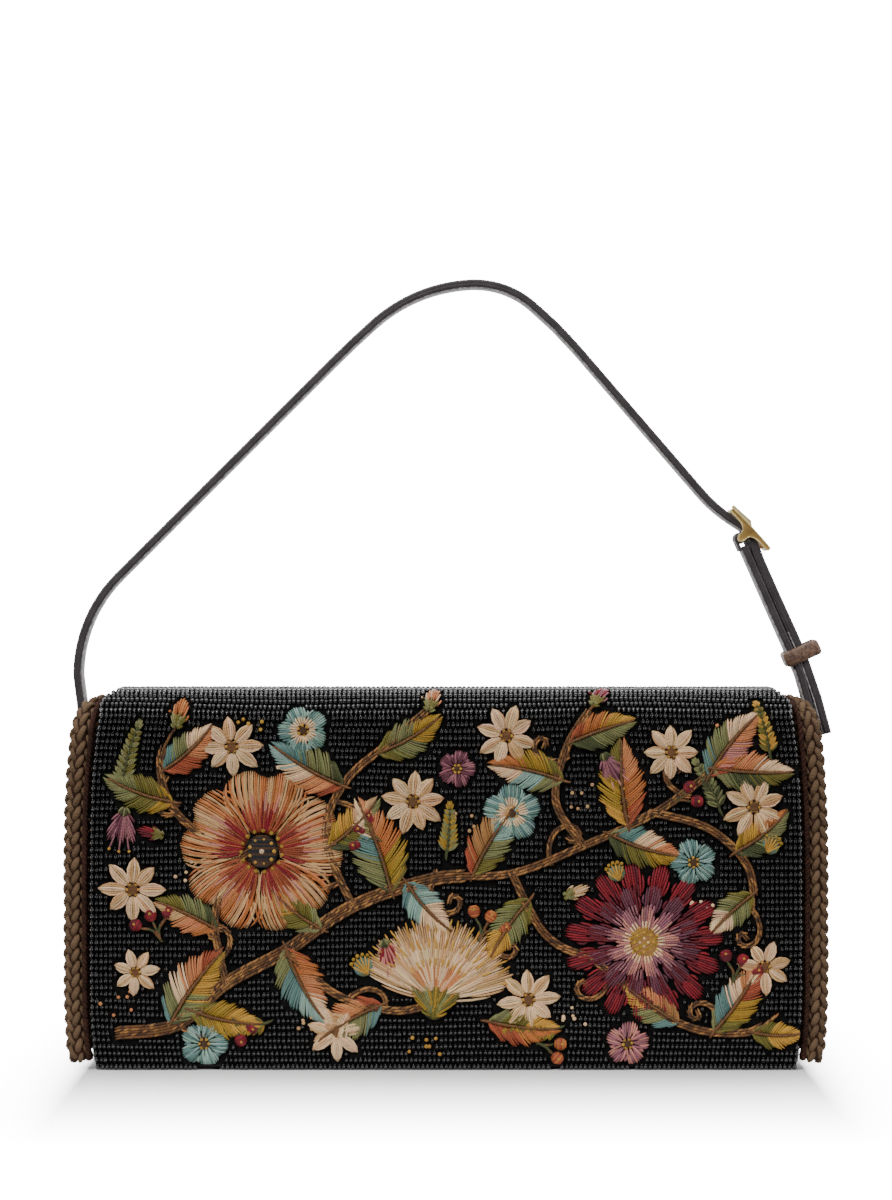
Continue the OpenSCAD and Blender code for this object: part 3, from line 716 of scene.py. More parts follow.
def bell(at, heading, length, tones, rim):
    """A hanging bell: a flared satin cup with three rim points and a stamen."""
    for swing in (-24, 24, 0):
        petal(at, heading + swing, length, length * 0.42, tones, point=0.45, base=0.3 if swing else 0.7)
    for swing in (-15, 0, 15):
        end = turned(at, heading + swing, length * 1.18)
        stitch(turned(at, heading + swing, length * 0.7), end, rim, 0.7, 0.9, 0.5)
        knot(end, 0.65, GOLD)
    petal(turned(at, heading, -2), heading, length * 0.3, length * 0.34, [SAGE, MOSS], base=1.0)


def wild_rose(at, r, turn=0.0):
    """Five broad notched petals in rust and peach, shaded from the heart."""
    for i in range(5):
        heading = turn + 72 * i
        petal(turned(at, heading, r * 0.2), heading, r * 0.8, r * 1.02, [PEACH, SAND, SAND, ORANGE],
              [RUST, CRIMSON, RUST], notch=0.13, narrow=0.25, inner_l=0.62)
        for swing in (-14, 0, 14):
            root, edge = (turned(at, heading + swing, r * reach) for reach in (0.42, 0.76))
            stitch(root, edge, PINK, 0.8, 1.05, 0.45)
    disc(at, r * 0.2, [UMBER, INK], base=0.9)
    ringed(at, r * 0.25, 15, MUSTARD, 0.8, 1.1, turn)
    ringed(at, r * 0.15, 9, GOLD, 0.8, 1.3)
    knot(at, 1.1, CREAM, 1.4)


def rosette(at, r, turn=0.0):
    """A full rosette: three rings of narrow round petals, crimson to mauve, and a knotted heart."""
    for ring_r, count, length, outer, inner, base in (
            (0.54, 15, 0.46, [CRIMSON, CRIMSON, WINE], [WINE], 0.25),
            (0.32, 12, 0.42, [PLUM, WINE, PLUM], [MAUVE], 0.6),
            (0.15, 9, 0.33, [MAUVE, PINK], [CREAM], 0.95)):
        for i in range(count):
            heading = turn + 360 * (i + (0.5 if count == 12 else 0)) / count
            petal(turned(at, heading, r * ring_r), heading, r * length, r * length * 0.54, outer, inner,
                  narrow=0.5, base=base, inner_l=0.5)
    disc(at, r * 0.2, [MUSTARD, CAMEL], 30, 1.1)
    for ring_r, count in ((0.19, 13), (0.12, 8), (0.05, 4)):
        ringed(at, r * ring_r, count, GOLD if ring_r > 0.1 else CREAM, 0.8, 1.5)


def carnation(at, heading, r):
    """A half-open fan of fringed cream petals in a green cup."""
    for ring_r, count, swing_all, tones, base in (
            (1.0, 9, 132, [SAND, CREAM], 0.3),
            (0.76, 7, 104, [CREAM, CREAM, SAND], 0.7),
            (0.5, 5, 76, [CREAM, PEACH], 1.1)):
        for i in range(count):
            way = heading + swing_all * (i / (count - 1) - 0.5)
            petal(turned(at, way, r * 0.1), way, r * ring_r, r * 0.38 * ring_r, tones, narrow=0.2, base=base,
                  notch=0.05)
            for k in (-1, 0, 1):
                root = turned(at, way + 4 * k, r * ring_r * 0.86)
                tip = turned(at, way + 6 * k, r * (ring_r * 1.06 + 0.05))
                stitch(root, tip, GOLD if k else SAND, 0.8, base + 0.4, 0.5)
    for swing in (-44, -22, 0, 22, 44):
        petal(turned(at, heading, -r * 0.2), heading + swing, r * 0.5, r * 0.19, [SAGE, OLIVE, MUSTARD],
              point=0.6, base=1.2)
    disc(turned(at, heading, -r * 0.12), r * 0.15, [MOSS, OLIVE], heading, 1.0)


def poppy_pod(at, heading, r, tones=(GOLD, MUSTARD)):
    disc(at, r, [SAGE, TEAL], heading, 0.4, 1.0)
    for swing in range(-60, 61, 24):
        stitch(turned(at, heading, -r * 0.9), turned(at, heading + swing, r * 1.15), tones[0], 0.7, 1.1, 0.6)
    for swing in range(-48, 49, 24):
        knot(turned(at, heading + swing, r * 1.25), 0.75, tones[1])


def embroider():
    """The layout: a scrolling vine over the flap, its flowers, leaves and sprays."""
    wood = [BARK, UMBER, CAMEL, BARK]
    for points, width, taper in (
            ([(-119, 12), (-98, 15), (-80, 30), (-58, 42), (-34, 58), (-4, 68), (24, 70), (50, 80), (76, 92),
              (98, 108)], 4.6, 0.45),
            ([(-34, 58), (-44, 84), (-36, 104), (-20, 118), (-6, 130)], 3.0, 0.5),
            ([(24, 70), (36, 48), (52, 40), (70, 42)], 2.9, 0.3),
            ([(-58, 42), (-40, 26), (-18, 20), (-2, 24)], 2.8, 0.3),
            ([(-80, 30), (-84, 54), (-76, 74), (-66, 80)], 2.9, 0.3),
            ([(50, 80), (40, 96), (44, 116), (54, 132)], 2.8, 0.5),
            ([(-76, 74), (-98, 92), (-104, 110), (-98, 124)], 2.6, 0.5),
            ([(52, 40), (84, 16), (108, 12), (120, 18)], 2.8, 0.5),
            ([(76, 92), (96, 86), (110, 72), (112, 54)], 2.6, 0.5)):
        stem(points, width, wood, taper)

    wild_rose((-67, 78), 30, 14)
    rosette((72, 45), 29, 4)
    carnation((-4, 24), 84, 27)

    for at, heading, length, width, tones, bend, other in (
            ((-100, 16), 62, 24, 11, [TEAL, SAGE, CREAM, PEACH, RUST], -0.15, [MOSS, SAGE, GOLD, MUSTARD]),
            ((-92, 20), -22, 19, 8, [OLIVE, MUSTARD, GOLD], 0.2, None),
            ((-58, 42), -72, 22, 10, [RUST, ORANGE, PEACH, CREAM], 0.2, [SAGE, TEAL, DUCK_EGG]),
            ((-46, 50), 152, 17, 7, [SAGE, OLIVE, MUSTARD], -0.2, None),
            ((-20, 64), 104, 26, 12, [MOSS, SAGE, TEAL, CREAM], 0.12, [OLIVE, MUSTARD, ORANGE, PEACH]),
            ((-14, 66), -58, 17, 8, [TEAL, DUCK_EGG, CREAM], 0.2, None),
            ((10, 70), 66, 22, 9, [RUST, CAMEL, SAND], -0.15, [OLIVE, SAGE, DUCK_EGG]),
            ((30, 60), -132, 19, 8, [OLIVE, SAGE, GOLD], 0.15, None),
            ((60, 84), -28, 20, 8.5, [SAGE, TEAL, CREAM, PEACH], 0.2, [MOSS, OLIVE, MUSTARD]),
            ((66, 88), 102, 23, 10, [GOLD, MUSTARD, OLIVE], -0.15, [RUST, ORANGE, PEACH]),
            ((96, 106), 62, 21, 9, [TEAL, SAGE, CREAM], -0.2, [RUST, PINK, PEACH]),
            ((98, 108), -8, 21, 9, [ORANGE, PEACH, CREAM], 0.1, [SAGE, MOSS, OLIVE]),
            ((-42, 80), 34, 18, 8, [MUSTARD, GOLD, SAND], 0.2, [MOSS, OLIVE, SAGE]),
            ((-38, 102), 158, 22, 10, [RUST, PEACH, CREAM, DUCK_EGG], -0.15, [MOSS, SAGE, TEAL]),
            ((-24, 114), 20, 19, 8, [OLIVE, SAGE, MUSTARD], 0.2, None),
            ((42, 104), 160, 20, 9, [SAGE, DUCK_EGG, CREAM], 0.15, [OLIVE, MUSTARD, ORANGE]),
            ((46, 118), 24, 18, 8, [RUST, ORANGE, GOLD], -0.1, [MOSS, SAGE]),
            ((-100, 96), 170, 19, 8, [MUSTARD, OLIVE, SAGE], -0.2, None),
            ((-102, 108), 32, 17, 8, [TEAL, SAGE, CREAM], 0.2, [RUST, PEACH]),
            ((84, 16), 150, 18, 8, [TEAL, SAGE, GOLD], -0.1, [CAMEL, PEACH]),
            ((98, 13), 48, 22, 9, [SAGE, TEAL, CREAM, PEACH], 0.15, [OLIVE, MUSTARD, RUST]),
            ((112, 12), -12, 13, 6, [OLIVE, GOLD], 0.2, None),
            ((106, 78), 28, 17, 8, [MUSTARD, GOLD, ORANGE], 0.2, [MOSS, SAGE]),
            ((111, 62), -142, 15, 7, [OLIVE, SAGE, CREAM], 0.1, None),
            ((-24, 22), -158, 20, 9, [TEAL, SAGE, CREAM], 0.15, [RUST, PEACH, SAND]),
            ((16, 16), -14, 19, 8, [SAGE, OLIVE, GOLD], 0.15, [RUST, ORANGE]),
            ((-84, 50), 150, 18, 8, [ORANGE, PEACH, SAND], 0.1, [MOSS, SAGE, OLIVE])):
        leaf(at, heading, length * 1.38, width * 1.62, tones, bend, BARK, 2.0, other)

    for at, r, count, turn in (
            ((-114, 64), 9.5, 8, 0), ((-40, 12), 8, 7, 12), ((30, 24), 9, 8, 5),
            ((112, 94), 9, 8, 20), ((-12, 96), 9.5, 9, 9), ((82, 114), 8.5, 8, 0),
            ((-78, 116), 9, 8, 4), ((116, 36), 8, 7, 16), ((22, 120), 9, 8, 30),
            ((-113, 34), 7, 7, 8)):
        daisy(at, r * 1.28, count, turn=turn)
    for at, r, turn, tones, inner in (
            ((24, 92), 8.6, 20, (TEAL, DUCK_EGG), [CREAM]), ((-88, 8), 7, 0, (DUCK_EGG, TEAL), None),
            ((-52, 122), 7.5, 40, (TEAL, DUCK_EGG), [CREAM]),
            ((66, 8), 6.5, 10, (MAUVE, PINK), None), ((90, 74), 7, 33, (DUCK_EGG, TEAL), None),
            ((4, 108), 5.6, 0, (MAUVE, PLUM), None)):
        small_bloom(at, r * 1.2, tones, GOLD, turn, 5, inner)

    for flower in (((-117, 92), -98, 12, [PLUM, MAUVE], MAUVE), ((-22, 44), -70, 11, [CRIMSON, PINK], PINK),
                   ((58, 112), -60, 11, [PLUM, MAUVE, MAUVE], PINK)):
        bell(*flower)
    for flower in (((-6, 130), 78, 12, [CREAM, PEACH]), ((54, 132), 66, 12, [CRIMSON, MAUVE]),
                   ((-98, 124), 76, 12, [ORANGE, PEACH]), ((-104, 84), 168, 9, [CRIMSON, WINE]),
                   ((44, 62), 20, 9, [CREAM, SAND])):
        bud(*flower)
    for frond in (((-118, 100), 84, 24, 9, [OLIVE, SAGE], -0.15, 6),
                  ((0, 76), 80, 18, 8, [SAGE, MUSTARD], 0.1, 5.5),
                  ((42, 14), 196, 20, 8, [OLIVE, MUSTARD], -0.2, 5.5),
                  ((100, 92), 108, 20, 8, [MOSS, SAGE], 0.15, 5.5),
                  ((-64, 16), 200, 20, 8, [MUSTARD, OLIVE], -0.2, 5),
                  ((118, 112), 96, 20, 8, [OLIVE, GOLD], 0.15, 5)):
        fern(*frond)
    for spray in (((-104, 46), 112, 3, 8), ((104, 30), 64, 3, 8), ((12, 46), 62, 3, 8, (ORANGE, RUST)),
                  ((-24, 82), 152, 3, 7), ((82, 96), 20, 2, 7), ((-78, 18), -50, 2, 7),
                  ((34, 8), -20, 2, 6, (ORANGE, RUST))):
        berries(*spray)
    for pod in (((-30, 36), 120, 3.6), ((118, 80), 60, 3.2), ((62, 70), 110, 3.2)):
        poppy_pod(*pod)

    for at, heading, size, turns, hand in (
            ((-90, 36), 10, 6.5, 1.3, 1), ((-40, 66), 200, 6, 1.3, -1), ((-4, 70), 250, 6, 1.4, 1),
            ((38, 74), 100, 6, 1.3, -1), ((60, 34), -100, 5.5, 1.3, -1),
            ((-36, 24), 40, 5.5, 1.2, -1), ((100, 14), 100, 5, 1.3, 1),
            ((-102, 104), 230, 5, 1.3, 1), ((88, 98), 160, 5.5, 1.3, -1),
            ((-40, 96), -10, 5.5, 1.3, -1), ((112, 56), -60, 5, 1.3, -1),
            ((44, 112), 200, 5, 1.2, -1), ((-96, 14), -40, 4.5, 1.1, 1), ((20, 52), -120, 5, 1.2, 1),
            ((74, 92), -150, 4.5, 1.2, -1)):
        tendril(at, heading, size, turns, [BARK, UMBER, CAMEL], hand)
    for at, count, colour in (
            ((-56, 112), 7, CREAM), ((8, 88), 6, SAND), ((94, 56), 6, CREAM), ((-120, 22), 6, PEACH),
            ((50, 98), 6, SAND), ((46, 20), 7, CREAM), ((-8, 8), 7, GOLD), ((-94, 70), 5, CREAM),
            ((104, 120), 6, PEACH), ((-72, 124), 5, GOLD), ((-50, 14), 5, SAND)):
        for _ in range(count):
            knot((at[0] + pick.uniform(-6, 6), at[1] + pick.uniform(-5, 5)), 0.75, colour, 0.6)


embroider()
work = np.array(stitches)
start, end = work[:, 0:2], work[:, 2:4]
RING_T = np.array([0.0, 0.13, 0.38, 0.62, 0.87, 1.0])
RING_R = np.array([0.5, 0.9, 1.0, 1.0, 0.9, 0.5])
span = end - start
length = np.linalg.norm(span, axis=1, keepdims=True)
perp = np.stack([-span[:, 1], span[:, 0]], -1) / (length + 1e-6)
flat_xv = (start[:, None] + span[:, None] * RING_T[:, None]
           + perp[:, None] * (work[:, 4:5] * 4 * (RING_T * (1 - RING_T)))[:, :, None])
rise = work[:, 6:7] + work[:, 7:8] * np.sin(np.pi * RING_T) ** 0.6 - 0.35 * (np.abs(RING_T - 0.5) > 0.49)


def on_flap(xv, up):
    """Points at a height above the backing cloth, and the ways out, from (x, v) on the flap."""
    limit = half_at(xv[..., 1]) - 0.6
    y, z, ny, nz = skin(np.maximum(0.8, xv[..., 1]), CLOTH_DEPTH - THREAD_LIFT - up)
    x = np.clip(xv[..., 0], -limit, limit)
    return np.stack([x, y, z], -1), np.stack([np.zeros_like(ny), ny, nz], -1)


centres, ups = on_flap(flat_xv, rise)
tones = np.clip(work[:, 8:11], 0, 1)
radii = work[:, 5:6] / 2 * RING_R
GROUP = 4200
embroidery = []
for k, first in enumerate(range(0, len(work), GROUP)):
    part = slice(first, first + GROUP)
    embroidery.append(tubes(f"embroidery_{k + 1}", centres[part], ups[part], radii[part], 4, silk, tones[part],
                            0.8))

knot_list = np.array(knots)
bpy.ops.mesh.primitive_uv_sphere_add(segments=7, ring_count=5, radius=MM)
knot_master = bpy.context.object
places, outs = on_flap(knot_list[:, 0:2], knot_list[:, 3])
turns = np.stack([np.tile([1.0, 0, 0], (len(outs), 1)), np.cross(outs, [1.0, 0, 0]), outs * 0.75], -1)
knot_piece = copies("embroidery_knots", knot_master, places, turns, knot_list[:, 2], silk)
add_tones(knot_piece, np.repeat(np.clip(knot_list[:, 4:7], 0, 1), len(knot_master.data.vertices), axis=0))
knot_piece.data.uv_layers.new(name="lay")
bpy.data.objects.remove(knot_master)
embroidery.append(knot_piece)

# Beads: one rounded barrel, its hole along the thread, copied in rows where no embroidery lies

BEAD_R, BEAD_L, BEAD_PITCH, ROW_PITCH, HEM_V = 1.16, 1.60, 1.68, 2.40, -0.35


def bead_master():
    """A barrel along X with every edge bevelled."""
    bpy.ops.mesh.primitive_cylinder_add(vertices=8, radius=BEAD_R * MM, depth=BEAD_L * MM,
                                        rotation=(0, math.pi / 2, 0))
    bead = bpy.context.object
    edit(bead)
    bpy.ops.mesh.select_mode(type="EDGE")
    bpy.ops.mesh.bevel(offset=0.48 * MM, segments=1, affect="EDGES")
    return done(bead, 180)


under_thread = [knot_list[:, 0:2]]
for first, last in zip(flat_xv[:, :-1].swapaxes(0, 1), flat_xv[:, 1:].swapaxes(0, 1)):
    for t in (0.0, 0.2, 0.4, 0.6, 0.8, 1.0):
        under_thread.append(first + (last - first) * t)
under_thread = np.concatenate(under_thread)
covered = kdtree.KDTree(len(under_thread))
for i, (x, v) in enumerate(under_thread):
    covered.insert((x, v, 0), i)
covered.balance()


def bead_rows(name, v0, v1, embroidered):
    """Rows of beads between two heights."""
    place, out, lie = [], [], []
    for row in range(int(math.ceil((v0 - HEM_V) / ROW_PITCH)), int(math.ceil((v1 - HEM_V) / ROW_PITCH))):
        v = HEM_V + row * ROW_PITCH
        half = float(half_at(max(0.0, v))) - 0.1
        count = int(2 * half / BEAD_PITCH)
        x = (np.arange(count) - (count - 1) / 2) * (2 * half / count) + noise.normal(0, 0.07, count)
        wave = 0.55 * np.sin(x / 33 + row * 0.11) + 0.22 * np.sin(x / 14 - row * 0.17)
        wave += noise.normal(0, 0.06, count)
        wave *= min(1.0, max(0.0, v / 12))
        vs = v + wave
        if embroidered:
            keep = np.array([covered.find((a, b, 0))[2] > 1.3 for a, b in zip(x, vs)])
            x, vs = x[keep], vs[keep]
        y, z, ny, nz = skin(vs, BEAD_R + noise.uniform(-0.04, 0.12, len(x)))
        place.append(np.stack([x, y, z], -1))
        out.append(np.stack([0 * x, ny, nz], -1))
        lie.append(noise.normal(0, 0.09, len(x)))
    place, out, lie = np.concatenate(place), np.concatenate(out), np.concatenate(lie)
    up = np.cross(np.tile([1.0, 0, 0], (len(out), 1)), out)
    along = np.cos(lie)[:, None] * np.array([1.0, 0, 0]) + np.sin(lie)[:, None] * up
    turns = np.stack([along, out, np.cross(along, out)], -1)
    return copies(name, bead, place, turns, noise.uniform(0.93, 1.05, len(place)), bead_glass)


bead = bead_master()
FOLD_V, SPLIT_V = FRONT_L, 160.0
bead_pieces = {
    "beads_front_low": (HEM_V, 58, True),
    "beads_front_high": (58, FOLD_V - 5, True),
    "beads_fold": (FOLD_V - 5, FOLD_V + 8, True),
    "beads_top": (FOLD_V + 8, LIFT_V - 5, True),
    "beads_lift": (LIFT_V - 5, LIFT_V + 5, False),
    "beads_back_high": (LIFT_V + 5, BACK_V + 22, False),
    "beads_back_upper": (BACK_V + 22, BACK_V + 56, False),
    "beads_back_lower": (BACK_V + 56, BACK_V + 90, False),
    "beads_back_low": (BACK_V + 90, FOOT_V - 1, False)}
bead_pieces = {name: bead_rows(name, *where) for name, where in bead_pieces.items()}
bpy.data.objects.remove(bead)


# Plaited cord: eight columns of strands round a core, which lean to one side and the other by turns. The core
# is near-black, painted shade in the gaps between the strands.

COLUMNS, STRAND_GAP, STRAND_HALF, STRAND_R = 8, 4.7, 3.5, 1.20
STRAND_SLANT = math.radians(27)

# A strand's middle stands this far out and its ends dip; a lean is turned into an angle at LEAN_R
STRAND_OUT, STRAND_DIP, LEAN_R, CORE_R = 4.15, 2.2, 4.2, 3.7

def cord_line(step=0.5):
    """The right cord's centre line from its front foot over to its back foot, with two ways across it."""
    z = np.linspace(CORD_FOOT, SPRING_Z, 160)
    leg = np.stack([half_w(z) + CORD_R, 0 * z - CORD_Y, z], -1)
    a = np.radians(np.linspace(0, 90, 40))
    bend = np.stack([half_w(SPRING_Z) + CORD_R - ARCH_SHIFT * (a * 2 / np.pi) ** 2,
                     ARCH_R * (1 - np.cos(a)) - CORD_Y, SPRING_Z + ARCH_R * np.sin(a)], -1)
    front = np.concatenate([leg[:-1], bend])
    s, line = evenly(np.concatenate([front, front[::-1] * [1, -1, 1]]), step)
    way = np.gradient(line, axis=0)
    way /= np.linalg.norm(way, axis=1, keepdims=True)
    outward = np.array([1.0, 0, 0]) - way * way[:, :1]
    outward /= np.linalg.norm(outward, axis=1, keepdims=True)
    return s, line, outward, np.cross(way, outward)


cord_s, cord_mid, cord_out, cord_side = cord_line()


def round_cord(s, phi, r, hand):
    """Points at lengths s, angles phi and radii r about a cord's centre line. hand is 1 right and -1 left."""
    s = np.clip(s, 0, cord_s[-1])
    across, aside = between(s, cord_s, cord_out), between(s, cord_s, cord_side)
    ways = np.cos(phi)[..., None] * across + np.sin(phi * hand)[..., None] * aside
    return (between(s, cord_s, cord_mid) + r[..., None] * ways) * [hand, 1, 1], ways * [hand, 1, 1]


def plait(name, hand):
    centre_s, centre_phi, lean = [], [], []
    for column in range(COLUMNS):
        s = np.arange(1.6 + column % 2 * STRAND_GAP / 2, cord_s[-1] - 1.6, STRAND_GAP)
        centre_s.append(s)
        centre_phi.append(0 * s - np.pi / 2 + column * 2 * np.pi / COLUMNS)
        lean.append(0 * s + (-1) ** column)
    s, phi, lean = np.concatenate(centre_s), np.concatenate(centre_phi), np.concatenate(lean)
    s, phi = s + noise.normal(0, 0.12, len(s)), phi + noise.normal(0, 0.03, len(s))
    t = np.linspace(-1, 1, 7)
    ends = np.minimum(s, cord_s[-1] - s)[:, None]
    close = np.clip(0.62 + 0.38 * np.sqrt(np.clip(ends / 3.5, 0, 1)), 0, 1)
    half = STRAND_HALF * noise.uniform(0.92, 1.08, (len(s), 1))
    ss = s[:, None] + t * half * math.cos(STRAND_SLANT)
    pp = phi[:, None] + lean[:, None] * t * half * math.sin(STRAND_SLANT) / LEAN_R
    rr = (STRAND_OUT - STRAND_DIP * np.abs(t) ** 2.0 + noise.uniform(-0.12, 0.12, (len(s), 1))) * close
    ss = np.clip(ss, 0.4, cord_s[-1] - 0.4)
    centres, ups = round_cord(ss, pp, rr, hand)
    radii = STRAND_R * (1 - 0.55 * np.abs(t) ** 2.4) * close * noise.uniform(0.93, 1.05, (len(s), 1))
    tones = noise.uniform(0.78, 1.12, (len(s), 1)) * np.array([[0.140, 0.086, 0.048]])
    piece = tubes(name, centres, ups, radii, 7, cord_yarn, tones, 0.8)
    core_s = np.linspace(0.8, cord_s[-1] - 0.8, 200)[None]
    core, ups = round_cord(core_s, 0 * core_s, 0 * core_s + 0.001, hand)
    # The near-black core shows between the strands as painted shade.
    core_piece = tubes(name + "_core", core, ups, 0 * core_s + CORE_R, 12, painted_shade_yarn)
    return [piece, core_piece]


def seam_cord(name, hand, gap=(3.4, 4.2), r=0.72):
    """A thin two-ply cord that fills the angle between the plait and the beaded edge, near-black as painted
    shade.
    """
    s = np.arange(0.6, cord_s[-1] / 2 - 6, 0.7)
    mid, out, aside = (between(s, cord_s, values) for values in (cord_mid, cord_out, cord_side))
    line = mid - gap[0] * out - gap[1] * aside
    plies = []
    for turn in (0, math.pi):
        a = turn + s * 2 * math.pi / 3.6
        plies.append(line + 0.55 * (np.cos(a)[:, None] * out + np.sin(a)[:, None] * aside))
    centres = np.stack(plies) * [hand, 1, 1]
    ups = np.stack([out] * 2) * [hand, 1, 1]
    return tubes(name, centres, ups, np.full(centres.shape[:2], r), 6, painted_shade_yarn)


plaits = {"right": plait("plait_cord_right", 1), "left": plait("plait_cord_left", -1)}
seam_cords = [seam_cord("seam_cord_right", 1), seam_cord("seam_cord_left", -1)]

# Seams: each stitch is a short thread that dips at both ends


def seam(name, line, out, material, pitch=3.0, length=2.1, width=0.55, lift=0.30):
    """Stitches along a line of points (millimetres), with the way out of the leather at each."""
    line, out = np.asarray(line, float), np.asarray(out, float)
    s, _ = evenly(line, pitch)
    run = run_along(line)
    t = np.array([-0.5, -0.44, -0.2, 0.2, 0.44, 0.5])
    where = np.clip(s[1:-1, None] + t * length, 0, run[-1])
    centres, ups = between(where, run, line), between(where, run, out)
    rise = np.array([-0.3, 0.0, 1.0, 1.0, 0.0, -0.3]) * lift - 0.06
    centres = centres + ups * rise[:, None]
    radii = np.tile(width / 2 * np.array([0.7, 0.95, 1.0, 1.0, 0.95, 0.7]), (len(centres), 1))
    return tubes(name, centres, ups, radii, 6, material, flat=0.85)


# Strap: its section is drawn once, then drawn out and spun run by run in the XZ plane

SWING = np.array([[-135.9, SWING_Z], [130.1, SWING_Z]])
BAR = np.array([108.6314, 193.6759])
CHAPE_SLOPE, BUCKLE_SLOPE, ARRIVE_H, RISE_H = 66.2, 47.0, -33.0, 88.0
WRAP_R = 4.05
ARCH = np.array([127.5, SPRING_Z + ARCH_R])
SEW_Z = 100.0


def direction(h):
    return np.array([math.cos(math.radians(h)), math.sin(math.radians(h))])


def run_end(p, h, length, turn):
    if turn == 0:
        return p + length * direction(h), h
    r = length * 180 / (math.pi * turn)
    centre = p + r * direction(h + 90)
    return centre + r * direction(h + turn - 90), h + turn


def runs_end(p, h, runs):
    for run in runs:
        p, h = run_end(p, h, *run)
    return p, h


def route_points(p, h, runs, step=2.0):
    """Points and headings along runs."""
    points, headings = [p], [h]
    for length, turn in runs:
        n = max(1, int(length / step))
        for i in range(1, n + 1):
            q, g = run_end(p, h, length * i / n, turn * i / n)
            points.append(q)
            headings.append(g)
        p, h = q, g
    return np.array(points), np.array(headings)


def strap_runs():
    """The runs from the left swing line over the shoulder to the bar. Two straight ones close the route."""
    rise, crown, meet = [[38.6, -43]], [[21, -3.3], [38.9, -38.9], [24.3, -42.7], [24, -9.3]], [6.5, 0]
    up_h = RISE_H - 43
    down_h = up_h - 94.2
    turn = [14.7, ARRIVE_H - down_h]
    zero = np.zeros(2)
    fixed = (runs_end(zero, RISE_H, rise)[0] + runs_end(zero, up_h, crown)[0]
             + runs_end(zero, down_h, [turn, meet])[0] - WRAP_R * direction(ARRIVE_H + 90))
    missing = BAR - SWING[0] - fixed
    up, down = direction(up_h), direction(down_h)
    cross = up[0] * down[1] - up[1] * down[0]
    up_l = (missing[0] * down[1] - missing[1] * down[0]) / cross
    down_l = (missing[1] * up[0] - missing[0] * up[1]) / cross
    return rise + [[up_l, 0]] + crown + [[down_l, 0], turn, meet]


def tab_runs(end, thickness):
    """The runs from a swing line (right side) down over the cord to the sewn end, and the first heading."""
    r = CORD_R + thickness / 2 + 0.1
    foot = np.array([float(half_w(SPRING_Z)) + thickness / 2, SPRING_Z])
    d, e = end - ARCH, foot - ARCH
    a1 = math.degrees(math.atan2(d[1], d[0]) - math.acos(r / math.hypot(*d)))
    a2 = math.degrees(math.atan2(e[1], e[0]) + math.acos(min(1, r / math.hypot(*e))))
    hang = math.sqrt(d @ d - r * r)
    drop = math.sqrt(max(0, e @ e - r * r))
    return [[hang, 0], [r * math.radians(a1 - a2), a2 - a1], [drop + SPRING_Z - SEW_Z, 0]], a1 - 90


def strap_section(width, thickness, offset, groove):
    """The section of a strap, as a ring of edges round the origin: rounded, and scored along both edges."""
    bpy.ops.mesh.primitive_plane_add(size=1)
    edit(bpy.context.object)
    bpy.ops.transform.resize(value=(thickness * MM, width * MM, 1))
    bpy.ops.transform.translate(value=(offset * MM, 0, 0))
    bpy.ops.mesh.delete(type="ONLY_FACE")
    bpy.ops.mesh.select_all(action="SELECT")
    bpy.ops.mesh.bevel(offset=min(0.7, thickness * 0.3) * MM, segments=3, affect="VERTICES")
    bpy.ops.object.mode_set(mode="OBJECT")
    piece = bpy.context.object
    for edge in piece.data.edges:
        ends = [piece.data.vertices[i].co for i in edge.vertices]
        edge.select = all(abs(abs(p.y) - width / 2 * MM) < 1e-6 for p in ends)
    bpy.ops.object.mode_set(mode="EDIT")
    bpy.ops.mesh.select_mode(type="EDGE")
    if groove:
        bpy.ops.mesh.subdivide(number_cuts=5)
    bpy.ops.object.mode_set(mode="OBJECT")
    for p in piece.data.vertices:
        if groove and abs(abs(p.co.y) - width / 2 * MM) < 1e-6 and abs(p.co.x - offset * MM) < 0.03 * MM:
            p.co.y -= math.copysign(groove * MM, p.co.y)
    return piece


def draw_out(p, h, runs):
    """Draws the selected ring of edges out along runs."""
    for length, turn in runs:
        if turn == 0:
            step = length * direction(h) * MM
            cuts = max(1, int(length / 12))
            move = {"value": (step[0] / cuts, 0, step[1] / cuts)}
            for _ in range(cuts):
                bpy.ops.mesh.extrude_region_move(TRANSFORM_OT_translate=move)
        else:
            r = length * 180 / (math.pi * turn)
            centre = (p + r * direction(h + 90)) * MM
            bpy.ops.mesh.spin(steps=max(2, int(abs(turn) / 3.5)), angle=math.radians(abs(turn)),
                              center=(centre[0], 0, centre[1]), axis=(0, math.copysign(1, turn), 0))
        p, h = run_end(p, h, length, turn)


